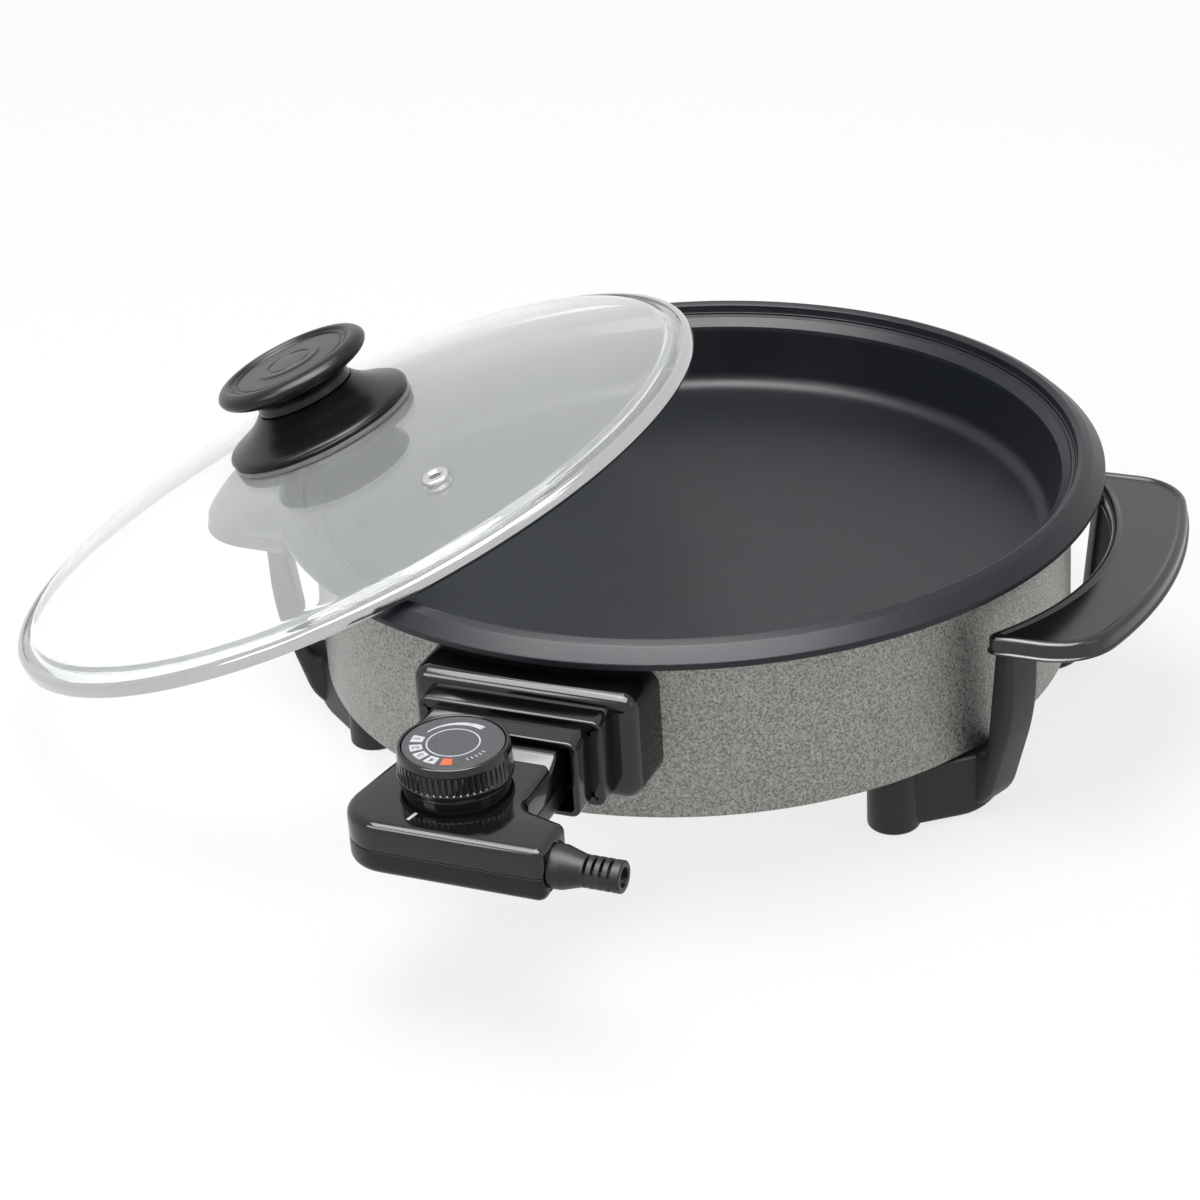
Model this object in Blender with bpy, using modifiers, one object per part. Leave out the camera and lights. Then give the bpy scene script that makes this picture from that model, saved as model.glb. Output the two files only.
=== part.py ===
"""Electric pizza pan with a lift-off glass lid and a plug-in heat control.

A shallow cast pan hangs in a steel jacket.  Two phenolic mouldings, each one handle, two legs and
two feet, carry it through long screws.  The heat control plugs into a socket on the front, with
its sensor rod in a well under the pan.  The domed lid leans on the pan's rim.

Lengths are in metres and +Z is up.  z = 0 is the cooking surface and the pan's axis is Z.  The
socket faces -Y and the handles lie on X.
"""

import math

import bmesh
import bpy
from mathutils import Euler, Matrix, Vector

# Fits and cutting
GAP = 0.0003
OVERRUN = 0.002
MERGE = 0.00001

# Facets
PAN_STEPS = 48
KNOB_STEPS = 24
SMALL_STEPS = 12
SCREW_STEPS = 8
BEND_STEPS = 3
SMOOTH_DEG = 32.0

# Pan
LIP_RADIUS = 0.160
LIP_HEIGHT = 0.029
LIP_EDGE = 0.0015
LIP_FOLD = 0.0025
RIM_WIDTH = 0.0164
RIM_RISE = 0.0062
CAVITY_INSET = 0.0004
CAVITY_DRAFT = 0.0024
CAVITY_TOP_DROP = 0.004
FLOOR_FILLET = 0.007
FLOOR_THICKNESS = 0.004
LIP_OVERHANG = 0.0142
PAN_DRAFT = 0.0022
PAN_HEEL_FILLET = 0.007
# Inset from the lip as a share of RIM_WIDTH, and rise above it as a share of RIM_RISE
RIM_SHARES = (
    (0.0, 0.0),
    (0.305, 0.742),
    (0.5, 1.0),
    (0.646, 0.839),
    (0.646, 0.161),
    (0.68, 0.258),
    (0.755, 0.258),
    (0.793, 0.13),
    (1.0, -0.387),
)
CREST_SHARE = 0.5

# Posts under the pan, which take the base screws, placed in from the jacket
POST_X_INSET = 0.0402
POST_Y_INSET = 0.0692
POST_RADIUS = 0.006
POST_BORE_RADIUS = 0.0022
POST_BORE_DEPTH = 0.022

# Sensor well, cast under the floor, and the line of the rod and the pins
ROD_Z = -0.0068
ROD_RADIUS = 0.0024
ROD_CLEARANCE = 0.00035
WELL_RADIUS = 0.006
WELL_MOUTH_INSET = 0.0088
WELL_DEPTH = 0.065
WELL_END_WALL = 0.004

# Jacket and base plate
JACKET_CLEARANCE = 0.0006
JACKET_THICKNESS = 0.0008
JACKET_BOTTOM = -0.0408
JACKET_HEM = 0.004
JACKET_CORNER = 0.0012
BASE_THICKNESS = 0.001
BASE_PANEL_INSET = 0.0611
BASE_PANEL_RISE = 0.002
BASE_HOLE_RADIUS = 0.0026

# Heat reflector
REFLECTOR_TOP = -0.018
REFLECTOR_INSET = 0.0352
REFLECTOR_SLOPE = 0.006
REFLECTOR_FLANGE = 0.006
REFLECTOR_THICKNESS = 0.0006

# Heating element
ELEMENT_RADIUS = 0.0033
ELEMENT_INSET = 0.0522
ELEMENT_LEAD_X = 0.013
ELEMENT_END_INSET = 0.0087
ELEMENT_BEND = 0.016
ELEMENT_STEPS = 32
CLIP_ANGLES_DEG = (10.0, 100.0, 190.0, 325.0)
CLIP_CLEARANCE = 0.0009
CLIP_THICKNESS = 0.0008
CLIP_WIDTH = 0.008
CLIP_EAR = 0.005
CLIP_STEPS = 6

# Terminal pins and their bushes
PIN_RADIUS = 0.002
PIN_TIP_INSET = 0.007
BUSH_RADIUS = 0.0038
BUSH_FLANGE_RADIUS = 0.005
BUSH_FLANGE = 0.002
BUSH_REACH = 0.006

# Socket housing on the jacket
FLANGE_HALF_WIDTH = 0.043
FLANGE_REACH = 0.0178
FLANGE_TOP = 0.021
FLANGE_BOTTOM = -0.018
FLANGE_ROUND = 0.0035
FLANGE_ROOT = 0.0192
SHROUD_HALF_WIDTH = 0.032
SHROUD_REACH = 0.020
SHROUD_TOP = 0.014
SHROUD_BOTTOM = -0.0165
SHROUD_ROUND = 0.0022
SHROUD_WALL = 0.0027
SHROUD_FLOOR = 0.0043
JACKET_WINDOW_MARGIN = 0.004
SOCKET_SCREW_X = 0.038
SOCKET_SCREW_Z = -0.012
SOCKET_SCREW_RADIUS = 0.0015
SOCKET_SCREW_HEAD_RADIUS = 0.003
SOCKET_SCREW_HEAD = 0.002
SOCKET_SCREW_LENGTH = 0.014

# Handle mouldings
GRIP_CLEARANCE = 0.004
GRIP_DEPTH = 0.0285
GRIP_HALF_ANGLE_DEG = 26.5
GRIP_CURVE_OFFSET = 0.045
GRIP_TOP = 0.0125
GRIP_THICKNESS = 0.007
GRIP_CORNER = 0.014
GRIP_ROUND = 0.002
GRIP_RIM = 0.0035
GRIP_DISH = 0.001
GRIP_ARC_STEPS = 9
LEG_ANGLE_DEG = 22.75
LEG_WIDTH = 0.017
LEG_TOP_INSET = 0.002
LEG_TOP_THICKNESS = 0.0075
LEG_KNEE = -0.022
LEG_KNEE_BEND = 0.020
LEG_FOOT_REACH = 0.0053
LEG_HEEL_REACH = 0.0063
LEG_BEND = 0.012
LEG_CROOK = 0.006
LEG_ROUND = 0.0018
TOE_INSET = 0.0082
TOE_CLEARANCE = 0.0012
TOE_BOTTOM = -0.066
WEB_WIDTH = 0.008
FOOT_BOTTOM = -0.068
FOOT_RADIUS = 0.010
FOOT_BORE_RADIUS = 0.0024
FOOT_POCKET_RADIUS = 0.0046
FOOT_POCKET_DEPTH = 0.012

# Base screws
BASE_SCREW_RADIUS = 0.0019
BASE_SCREW_HEAD_RADIUS = 0.0038
BASE_SCREW_HEAD = 0.0026
BASE_SCREW_GRIP = 0.014

# Heat control's case, whose screws are placed from the dial's line
CASE_TOP = 0.008
CASE_PARTING = -0.0025
CASE_BOTTOM = -0.012
CASE_WALL = 0.0019
CASE_ROUND = 0.0018
NECK_HALF_WIDTH = 0.022
NECK_PLUG = 0.017
NECK_TOP = 0.0106
NECK_LAND = 0.005
NECK_RAMP = 0.0035
NECK_LAND_INSET = 0.0004
CASE_MARGIN = 0.0138
CASE_END_X = 0.043
CASE_DEPTH = 0.0205
CASE_CROOK_RISE = 0.0055
CASE_CROOK_ROUND = 0.008
CASE_LEFT_X = -0.037
CASE_SHOULDER_X = -0.0295
CASE_SHOULDER_START = 0.005
CASE_SHOULDER_DROP = 0.005
CASE_SHOULDER_ROUND = 0.005
CASE_CORNER = 0.016
CASE_EDGE = 0.0025
CASE_SCREWS = ((-0.0245, -0.0213), (0.0295, -0.0263), (-0.0165, 0.0137))
CASE_BOSS_RADIUS = 0.0034
CASE_SCREW_RADIUS = 0.0012
CASE_SCREW_HEAD_RADIUS = 0.0022
CASE_SCREW_HEAD = 0.0014
CASE_SCREW_POCKET = 0.003
CASE_SCREW_REACH = 0.005

# Inside the heat control
SOCKET_TUBE_RADIUS = 0.003
SOCKET_TUBE_LENGTH = 0.018
FRAME_LEFT_X = -0.012
FRAME_RIGHT_X = 0.019
FRAME_HALF_DEPTH = 0.009
FRAME_THICKNESS = 0.0009
FRAME_TOP = 0.0052
STACK_X = 0.0125
STACK_RADIUS = 0.0045
LEAF_HALF_WIDTH = 0.003
LEAF_THICKNESS = 0.0006
LEAF_OVERHANG = 0.004
LOWER_LEAF_Z = -0.0055
UPPER_LEAF_Z = -0.0005

# Dial
DIAL_X = -0.0029
DIAL_STAND = 0.0022
DIAL_RADIUS = 0.020
DIAL_TOP = 0.0235
DIAL_BOTTOM = 0.011
DIAL_EDGE = 0.0008
DIAL_WALL = 0.0024
DIAL_RECESS = 0.0012
DIAL_RIM = 0.0022
DIAL_CROWN = 0.0026
DIAL_RIBS = 54
DIAL_RIB_DEPTH = 0.0007
DIAL_RIB_TOP = 0.0200
DIAL_RIB_BOTTOM = 0.0132
DIAL_FACE_THICKNESS = 0.0006
DIAL_HUB_RADIUS = 0.0055
DIAL_STEM_RADIUS = 0.003
DIAL_STEM_DEPTH = 0.008
DIAL_COLLAR_RADIUS = 0.0185
DIAL_TURN_GAP = 0.0004

# Cord boot
BOOT_DEPTH = 0.010
BOOT_RECESS_RADIUS = 0.0086
BOOT_RECESS_DEPTH = 0.001
BOOT_COLLAR_RADIUS = 0.0078
BOOT_COLLAR = 0.004
BOOT_NECK_RADIUS = 0.0055
BOOT_TAIL_RADIUS = 0.007
BOOT_TAIL = 0.002
BOOT_CONE = 0.007
BOOT_SLEEVE_RADIUS = 0.0056
BOOT_REACH = 0.0245
BOOT_BORE_RADIUS = 0.0034
BOOT_SLITS = 4
BOOT_SLIT = 0.0012
BOOT_SLIT_PITCH = 0.0029
BOOT_SLIT_INSET = 0.0115
BOOT_STEPS = 16

# Lid, whose middle lies just inside the pan's lip
LID_SHIFT = 0.0241
LID_AT_DEG = 191.03
LID_LEAN_DEG = 21.64
LID_LEAN_TOWARD_DEG = 191.12
LID_INSET = 0.0114
DOME_SPHERE_RADIUS = 0.463
DOME_FOOT = 0.00869
GLASS_THICKNESS = 0.0038
GLASS_INSET = 0.0023
GLASS_SHOULDER = 0.0033
GLASS_DOME_EDGE = 0.0065
DOME_RINGS = 3
RIM_STRIP = 0.0007
RIM_LIP = 0.0058
RIM_HEIGHT = 0.0056
RIM_TOP_LIP = 0.0044
RIM_CORNER = 0.0006
REST_STEPS = 720
REST_ROUNDS = 8

# Steam vent in the glass
VENT_INSET = 0.0481
VENT_ANGLE_DEG = 132.1
VENT_FLANGE_RADIUS = 0.0046
VENT_BARREL_RADIUS = 0.0027
VENT_BORE_RADIUS = 0.0014
VENT_FLANGE = 0.0011

# Knob: heights are above the top of the dome
KNOB_BASE_RADIUS = 0.0385
KNOB_BASE_SEAT = 0.0009
KNOB_BASE_EDGE = 0.0018
KNOB_SEAM = 0.0145
KNOB_SEAM_INSET = 0.018
KNOB_TOP = 0.0300
KNOB_GRIP_RADIUS = 0.0318
KNOB_GRIP_EDGE = 0.0075
KNOB_NECK_INSET = 0.0017
KNOB_WALL = 0.0025
KNOB_HUB_RADIUS = 0.007
KNOB_BORE_RADIUS = 0.0026
GASKET_WIDTH = 0.0145
GASKET_INSET = 0.001
KNOB_SCREW_RADIUS = 0.0022
KNOB_SCREW_HEAD_RADIUS = 0.0042
KNOB_SCREW_HEAD = 0.0022
KNOB_SCREW_REACH = 0.007
WASHER_RADIUS = 0.0044
WASHER_THICKNESS = 0.0005
# Radius as a share of the way from the seam to the edge, height as a share of the way up to the seam
BELL_SHARES = ((0.93, 0.1), (0.62, 0.27), (0.36, 0.47), (0.14, 0.74))
# Radius as a share of KNOB_GRIP_RADIUS, depth below the top as a share of KNOB_GRIP_EDGE
GRIP_SHARES = (
    (0.43, 0.06),
    (0.45, 0.13),
    (0.70, 0.16),
    (0.73, 0.22),
    (0.765, 0.22),
    (0.79, 0.02),
    (0.88, 0.0),
    (0.96, 0.14),
    (1.0, 0.42),
    (0.985, 0.72),
    (0.9, 0.98),
)

# Round sizes that follow the pan's lip
CAVITY_TOP_RADIUS = LIP_RADIUS - RIM_WIDTH - CAVITY_INSET
CAVITY_FOOT_RADIUS = CAVITY_TOP_RADIUS - CAVITY_DRAFT
PAN_SEAT_RADIUS = LIP_RADIUS - LIP_OVERHANG
PAN_HEEL_RADIUS = PAN_SEAT_RADIUS - PAN_DRAFT
JACKET_INNER_RADIUS = PAN_SEAT_RADIUS + JACKET_CLEARANCE
JACKET_RADIUS = JACKET_INNER_RADIUS + JACKET_THICKNESS
BASE_RADIUS = JACKET_INNER_RADIUS - GAP
BASE_PANEL_RADIUS = BASE_RADIUS - BASE_PANEL_INSET
REFLECTOR_RADIUS = JACKET_RADIUS - REFLECTOR_INSET
ELEMENT_RING_RADIUS = JACKET_RADIUS - ELEMENT_INSET
GRIP_INNER_RADIUS = LIP_RADIUS + GRIP_CLEARANCE
GRIP_OUTER_RADIUS = GRIP_INNER_RADIUS + GRIP_DEPTH
LEG_TOP_RADIUS = GRIP_INNER_RADIUS + LEG_TOP_INSET
LEG_FOOT_RADIUS = JACKET_RADIUS + LEG_FOOT_REACH
LEG_HEEL_RADIUS = JACKET_RADIUS + LEG_HEEL_REACH
TOE_RADIUS = JACKET_RADIUS - TOE_INSET
LID_RADIUS = LIP_RADIUS - LID_INSET
GLASS_EDGE_RADIUS = LID_RADIUS - GLASS_INSET
GLASS_DOME_RADIUS = GLASS_EDGE_RADIUS - GLASS_DOME_EDGE
VENT_RADIUS = LID_RADIUS - VENT_INSET

# Places that follow them
POST_X = JACKET_RADIUS - POST_X_INSET
POST_Y = JACKET_RADIUS - POST_Y_INSET
LID_X = (LIP_RADIUS - LID_SHIFT) * math.cos(math.radians(LID_AT_DEG))
LID_Y = (LIP_RADIUS - LID_SHIFT) * math.sin(math.radians(LID_AT_DEG))
WELL_MOUTH_Y = WELL_MOUTH_INSET - PAN_SEAT_RADIUS
WELL_BORE_END_Y = WELL_MOUTH_Y + WELL_DEPTH
ELEMENT_END_Y = ELEMENT_END_INSET - JACKET_RADIUS
FLANGE_ROOT_Y = FLANGE_ROOT - JACKET_RADIUS
FLANGE_FRONT_Y = -JACKET_RADIUS - FLANGE_REACH
SHROUD_BACK_Y = -JACKET_RADIUS - SHROUD_FLOOR
SHROUD_FRONT_Y = FLANGE_FRONT_Y - SHROUD_REACH
PIN_TIP_Y = SHROUD_FRONT_Y + PIN_TIP_INSET
NECK_END_Y = SHROUD_FRONT_Y + NECK_PLUG
NECK_RAMP_TOP_Y = SHROUD_FRONT_Y - NECK_LAND
NECK_RAMP_FOOT_Y = NECK_RAMP_TOP_Y - NECK_RAMP
DIAL_Y = NECK_RAMP_TOP_Y - DIAL_STAND - DIAL_RADIUS
CASE_FRONT_Y = DIAL_Y - DIAL_RADIUS - CASE_MARGIN
CASE_BACK_Y = CASE_FRONT_Y + CASE_DEPTH
CASE_CROOK_Y = CASE_BACK_Y + CASE_CROOK_RISE
CASE_SHOULDER_TOP_Y = NECK_RAMP_TOP_Y - CASE_SHOULDER_START
CASE_SHOULDER_Y = CASE_SHOULDER_TOP_Y - CASE_SHOULDER_DROP
CASE_SCREW_PLACES = [(x, DIAL_Y + along) for x, along in CASE_SCREWS]
BOOT_Y = CASE_FRONT_Y + BOOT_DEPTH
BOOT_SLEEVE_END = CASE_END_X + BOOT_REACH
BOOT_SLIT_START = CASE_END_X + BOOT_SLIT_INSET
FLOOR_UNDERSIDE = -FLOOR_THICKNESS
LIP_UNDERSIDE = LIP_HEIGHT - LIP_FOLD
CREST_RADIUS = LIP_RADIUS - CREST_SHARE * RIM_WIDTH
CREST_HEIGHT = LIP_HEIGHT + RIM_RISE
BASE_UNDERSIDE = JACKET_BOTTOM + JACKET_THICKNESS + GAP
BASE_TOP = BASE_UNDERSIDE + BASE_THICKNESS
POST_BOTTOM = BASE_TOP + GAP
POSTS = [(x, y) for x in (-POST_X, POST_X) for y in (-POST_Y, POST_Y)]
FOOT_SHOULDER = FOOT_BOTTOM + FOOT_POCKET_DEPTH
ELEMENT_Z = FLOOR_UNDERSIDE - GAP - ELEMENT_RADIUS
PIN_ROOT_Y = ELEMENT_END_Y - GAP
BORE_RADIUS = ROD_RADIUS + ROD_CLEARANCE
DOME_DROP = DOME_FOOT - math.sqrt(DOME_SPHERE_RADIUS**2 - GLASS_DOME_RADIUS**2)
DOME_RISE = DOME_DROP + DOME_SPHERE_RADIUS
KNOB_SEAM_RADIUS = KNOB_BASE_RADIUS - KNOB_SEAM_INSET
KNOB_NECK_RADIUS = KNOB_SEAM_RADIUS - KNOB_NECK_INSET
GASKET_INNER_RADIUS = KNOB_BASE_RADIUS - GASKET_WIDTH
CASE_CAVITY_TOP = CASE_TOP - CASE_WALL
CASE_CAVITY_BOTTOM = CASE_BOTTOM + CASE_WALL
PARTS = "pizza_pan"
CUTTERS = "cutters"

# Each finish as linear colour, roughness and metallic
LOOKS = {
    "nonstick": ((0.012, 0.014, 0.018), 0.42, 0.0),
    "hammertone": ((0.20, 0.195, 0.18), 0.38, 0.6),
    "steel": ((0.62, 0.62, 0.60), 0.28, 1.0),
    "aluminium": ((0.75, 0.76, 0.77), 0.35, 1.0),
    "phenolic": ((0.008, 0.008, 0.009), 0.22, 0.0),
    "sheath": ((0.09, 0.10, 0.09), 0.5, 0.8),
    "ceramic": ((0.78, 0.74, 0.66), 0.55, 0.0),
    "brass": ((0.70, 0.50, 0.20), 0.3, 1.0),
    "rubber": ((0.012, 0.012, 0.013), 0.6, 0.0),
    "glass": ((0.85, 0.90, 0.89), 0.05, 0.0),
    "silicone": ((0.75, 0.75, 0.74), 0.45, 0.0),
    "print": ((0.06, 0.06, 0.065), 0.35, 0.0),
}


def clear_scene():
    """Remove every object and make the collections for parts and cutters."""
    for thing in list(bpy.data.objects):
        bpy.data.objects.remove(thing, do_unlink=True)
    for title in (PARTS, CUTTERS):
        bpy.context.scene.collection.children.link(bpy.data.collections.new(title))


def look(title):
    """Return the Principled material of one finish, made on first use."""
    found = bpy.data.materials.get(title)
    if found:
        return found
    colour, roughness, metallic = LOOKS[title]
    made = bpy.data.materials.new(title)
    made.use_nodes = True
    shader = made.node_tree.nodes["Principled BSDF"]
    shader.inputs["Base Color"].default_value = (*colour, 1.0)
    shader.inputs["Roughness"].default_value = roughness
    shader.inputs["Metallic"].default_value = metallic
    made.diffuse_color = (*colour, 1.0)
    return made


def empty(name, location, rotation=(0.0, 0.0, 0.0), parent=None):
    """Return an empty that carries one moving body."""
    axis = bpy.data.objects.new(name, None)
    bpy.data.collections[PARTS].objects.link(axis)
    axis.rotation_euler = rotation
    axis.location = location
    if parent:
        axis.parent = parent
        axis.matrix_parent_inverse = parent.matrix_world.inverted()
    bpy.context.view_layer.update()
    return axis


def place(name, mesh, location=(0.0, 0.0, 0.0), rotation=(0.0, 0.0, 0.0)):
    """Return a new object for a mesh, in the cutters' collection until it is finished."""
    thing = bpy.data.objects.new(name, mesh)
    thing.location = location
    thing.rotation_euler = rotation
    thing.hide_render = True
    thing.display_type = "WIRE"
    bpy.data.collections[CUTTERS].objects.link(thing)
    return thing


def evaluated_mesh(thing):
    """Return the mesh of an object with its modifiers applied, in its own space."""
    bpy.context.view_layer.update()
    graph = bpy.context.evaluated_depsgraph_get()
    return bpy.data.meshes.new_from_object(thing.evaluated_get(graph))


def settle(thing):
    """Apply an object's modifiers to its mesh."""
    mesh = evaluated_mesh(thing)
    thing.modifiers.clear()
    thing.data = mesh
    return thing


def finish(thing, finish_title, carrier=None, in_carrier_space=False):
    """Turn a shaped object into a part: apply modifiers, shade, colour, file and parent it."""
    settle(thing)
    thing.data.shade_smooth()
    thing.data.set_sharp_from_angle(angle=math.radians(SMOOTH_DEG))
    thing.data.materials.clear()
    thing.data.materials.append(look(finish_title))
    bpy.data.collections[CUTTERS].objects.unlink(thing)
    bpy.data.collections[PARTS].objects.link(thing)
    thing.hide_render = False
    thing.display_type = "TEXTURED"
    if carrier:
        thing.parent = carrier
        if not in_carrier_space:
            thing.matrix_parent_inverse = carrier.matrix_world.inverted()
    return thing


def turned(name, profile, steps, location=(0.0, 0.0, 0.0), rotation=(0.0, 0.0, 0.0), ring=False):
    """Turn (radius, height) points round Z.  They run down the outer side; a ring closes on itself."""
    shape = bmesh.new()
    points = [shape.verts.new((radius, 0.0, height)) for radius, height in profile]
    ends = points[1:] + points[:1] if ring else points[1:]
    for start, end in zip(points, ends):
        shape.edges.new((start, end))
    mesh = bpy.data.meshes.new(name)
    shape.to_mesh(mesh)
    shape.free()
    thing = place(name, mesh, location, rotation)
    screw = thing.modifiers.new("turn", "SCREW")
    screw.angle = math.tau
    screw.steps = steps
    screw.render_steps = steps
    screw.use_merge_vertices = True
    screw.merge_threshold = MERGE
    return settle(thing)


def rod(name, radius, start, end, steps=SMALL_STEPS):
    """Return a cylinder between two points."""
    start, end = Vector(start), Vector(end)
    span = end - start
    shape = bmesh.new()
    bmesh.ops.create_cone(
        shape, cap_ends=True, segments=steps, radius1=radius, radius2=radius, depth=span.length
    )
    mesh = bpy.data.meshes.new(name)
    shape.to_mesh(mesh)
    shape.free()
    turn = span.to_track_quat("Z", "Y").to_euler()
    return place(name, mesh, (start + end) / 2, turn)


def box(name, low, high):
    """Return a box between two corners."""
    low, high = Vector(low), Vector(high)
    shape = bmesh.new()
    bmesh.ops.create_cube(shape, size=1.0)
    bmesh.ops.scale(shape, vec=high - low, verts=shape.verts)
    mesh = bpy.data.meshes.new(name)
    shape.to_mesh(mesh)
    shape.free()
    return place(name, mesh, (low + high) / 2)


def corners(points, steps=BEND_STEPS):
    """Return an outline from (x, y, radius) corners, with an arc at each corner with a radius."""
    outline = []
    count = len(points)
    for index, (x, y, radius) in enumerate(points):
        here = Vector((x, y))
        if radius <= 0.0:
            outline.append((x, y))
            continue
        to_last = (Vector(points[index - 1][:2]) - here).normalized()
        to_next = (Vector(points[(index + 1) % count][:2]) - here).normalized()
        half = to_last.angle(to_next) / 2
        centre = here + (to_last + to_next).normalized() * (radius / math.sin(half))
        start = here + to_last * (radius / math.tan(half)) - centre
        end = here + to_next * (radius / math.tan(half)) - centre
        sweep = start.angle_signed(end)
        for step in range(steps + 1):
            spoke = start.copy()
            spoke.rotate(Matrix.Rotation(-sweep * step / steps, 2))
            outline.append(tuple(centre + spoke))
    return outline


def slab(name, outline, low, high, axis="Z", location=(0.0, 0.0, 0.0), rotation=(0.0, 0.0, 0.0)):
    """Extrude a flat outline from low to high along an axis.

    The outline is in (x, y) for Z, in (y, z) for X and in (x, z) for Y.
    """
    curve = bpy.data.curves.new(name, "CURVE")
    curve.dimensions = "2D"
    curve.fill_mode = "BOTH"
    curve.extrude = (high - low) / 2
    spline = curve.splines.new("POLY")
    spline.points.add(len(outline) - 1)
    for point, (across, along) in zip(spline.points, outline):
        point.co = (across, along, 0.0, 1.0)
    spline.use_cyclic_u = True
    guide = bpy.data.objects.new(name, curve)
    bpy.data.collections[CUTTERS].objects.link(guide)
    mesh = evaluated_mesh(guide)
    bpy.data.objects.remove(guide, do_unlink=True)
    middle = (low + high) / 2
    turns = {
        "Z": (Matrix.Identity(4), (0.0, 0.0, middle)),
        "X": (Matrix(((0, 0, 1, 0), (1, 0, 0, 0), (0, 1, 0, 0), (0, 0, 0, 1))), (middle, 0.0, 0.0)),
        "Y": (Matrix.Rotation(math.radians(90), 4, "X"), (0.0, middle, 0.0)),
    }
    turn, shift = turns[axis]
    mesh.transform(Matrix.Translation(shift) @ turn)
    weld(mesh)
    return place(name, mesh, location, rotation)


def weld(mesh):
    """Join the loose caps of a mesh made from a curve and point its faces outward."""
    shape = bmesh.new()
    shape.from_mesh(mesh)
    bmesh.ops.remove_doubles(shape, verts=shape.verts, dist=MERGE)
    bmesh.ops.recalc_face_normals(shape, faces=shape.faces)
    shape.to_mesh(mesh)
    shape.free()


def wire(name, points, radius):
    """Return a tube of one radius along a line of points, as a mesh."""
    curve = bpy.data.curves.new(name, "CURVE")
    curve.dimensions = "3D"
    curve.bevel_depth = radius
    curve.bevel_resolution = 2
    curve.use_fill_caps = True
    spline = curve.splines.new("POLY")
    spline.points.add(len(points) - 1)
    for point, spot in zip(spline.points, points):
        point.co = (*spot, 1.0)
    guide = bpy.data.objects.new(name, curve)
    bpy.data.collections[CUTTERS].objects.link(guide)
    mesh = evaluated_mesh(guide)
    bpy.data.objects.remove(guide, do_unlink=True)
    weld(mesh)
    return place(name, mesh)


def softened(thing, width, segments=2):
    """Round an object's sharp edges."""
    bevel = thing.modifiers.new("round", "BEVEL")
    bevel.width = width
    bevel.segments = segments
    bevel.limit_method = "ANGLE"
    bevel.angle_limit = math.radians(SMOOTH_DEG)
    return settle(thing)


def combine(thing, others, operation, solver="EXACT"):
    """Join other objects to one, or cut them out of it."""
    for other in others:
        step = thing.modifiers.new(other.name, "BOOLEAN")
        step.operation = operation
        step.solver = solver
        step.object = other
    settle(thing)
    for other in others:
        bpy.data.objects.remove(other, do_unlink=True)
    return thing


def fuse(thing, *others, solver="EXACT"):
    """Join other objects to one."""
    return combine(thing, others, "UNION", solver)


def carve(thing, *others, solver="EXACT"):
    """Cut other objects out of one."""
    return combine(thing, others, "DIFFERENCE", solver)


def finish_each(title, things, finish_title, carrier=None):
    """Finish the copies of a repeated piece as numbered objects."""
    for number, thing in enumerate(things, 1):
        thing.name = f"{title}_{number}"
        finish(thing, finish_title, carrier)


def arc(centre, radius, start, end, steps):
    """Return points on an arc between two angles in radians."""
    angles = [start + (end - start) * step / steps for step in range(steps + 1)]
    return [(centre[0] + radius * math.cos(a), centre[1] + radius * math.sin(a)) for a in angles]


def polar(radius, degrees):
    """Return the (x, y) of a point at a radius and an angle."""
    return radius * math.cos(math.radians(degrees)), radius * math.sin(math.radians(degrees))


def pan_profile():
    """Return the pan's half section from the middle of the floor, over the rim, to the underside."""
    quarter = math.pi / 2
    inside = arc(
        (CAVITY_FOOT_RADIUS - FLOOR_FILLET, FLOOR_FILLET), FLOOR_FILLET, -quarter, 0.0, BEND_STEPS
    )
    rim = [
        (LIP_RADIUS - inset * RIM_WIDTH, LIP_HEIGHT + rise * RIM_RISE)
        for inset, rise in reversed(RIM_SHARES)
    ]
    under = [
        (LIP_RADIUS, LIP_HEIGHT - LIP_EDGE),
        (LIP_RADIUS - LIP_EDGE, LIP_UNDERSIDE),
        (PAN_SEAT_RADIUS, LIP_UNDERSIDE),
    ]
    heel_middle = (PAN_HEEL_RADIUS - PAN_HEEL_FILLET, FLOOR_UNDERSIDE + PAN_HEEL_FILLET)
    heel = arc(heel_middle, PAN_HEEL_FILLET, 0.0, -quarter, BEND_STEPS)
    return [
        (0.0, 0.0),
        *inside,
        (CAVITY_TOP_RADIUS, LIP_HEIGHT - CAVITY_TOP_DROP),
        *rim,
        *under,
        *heel,
        (0.0, FLOOR_UNDERSIDE),
    ]


def make_pan():
    """Make the cast pan with its posts and its sensor well."""
    pan = turned("pan", pan_profile(), PAN_STEPS)
    root = FLOOR_UNDERSIDE + FLOOR_THICKNESS / 2
    posts = [rod("post", POST_RADIUS, (x, y, POST_BOTTOM), (x, y, root)) for x, y in POSTS]
    well_end = WELL_BORE_END_Y + WELL_END_WALL
    well = rod("well", WELL_RADIUS, (0.0, WELL_MOUTH_Y, ROD_Z), (0.0, well_end, ROD_Z))
    well_top = box(
        "well_top",
        (-WELL_RADIUS, WELL_MOUTH_Y - OVERRUN, 0.0),
        (WELL_RADIUS, well_end + OVERRUN, WELL_RADIUS),
    )
    carve(well, well_top)
    fuse(pan, *posts, well)
    bore_top = POST_BOTTOM + POST_BORE_DEPTH
    bores = [
        rod("bore", POST_BORE_RADIUS, (x, y, POST_BOTTOM - OVERRUN), (x, y, bore_top), SCREW_STEPS)
        for x, y in POSTS
    ]
    mouth = (0.0, WELL_MOUTH_Y - OVERRUN, ROD_Z)
    bores.append(rod("bore", BORE_RADIUS, mouth, (0.0, WELL_BORE_END_Y, ROD_Z)))
    carve(pan, *bores)
    return finish(pan, "nonstick")


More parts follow.
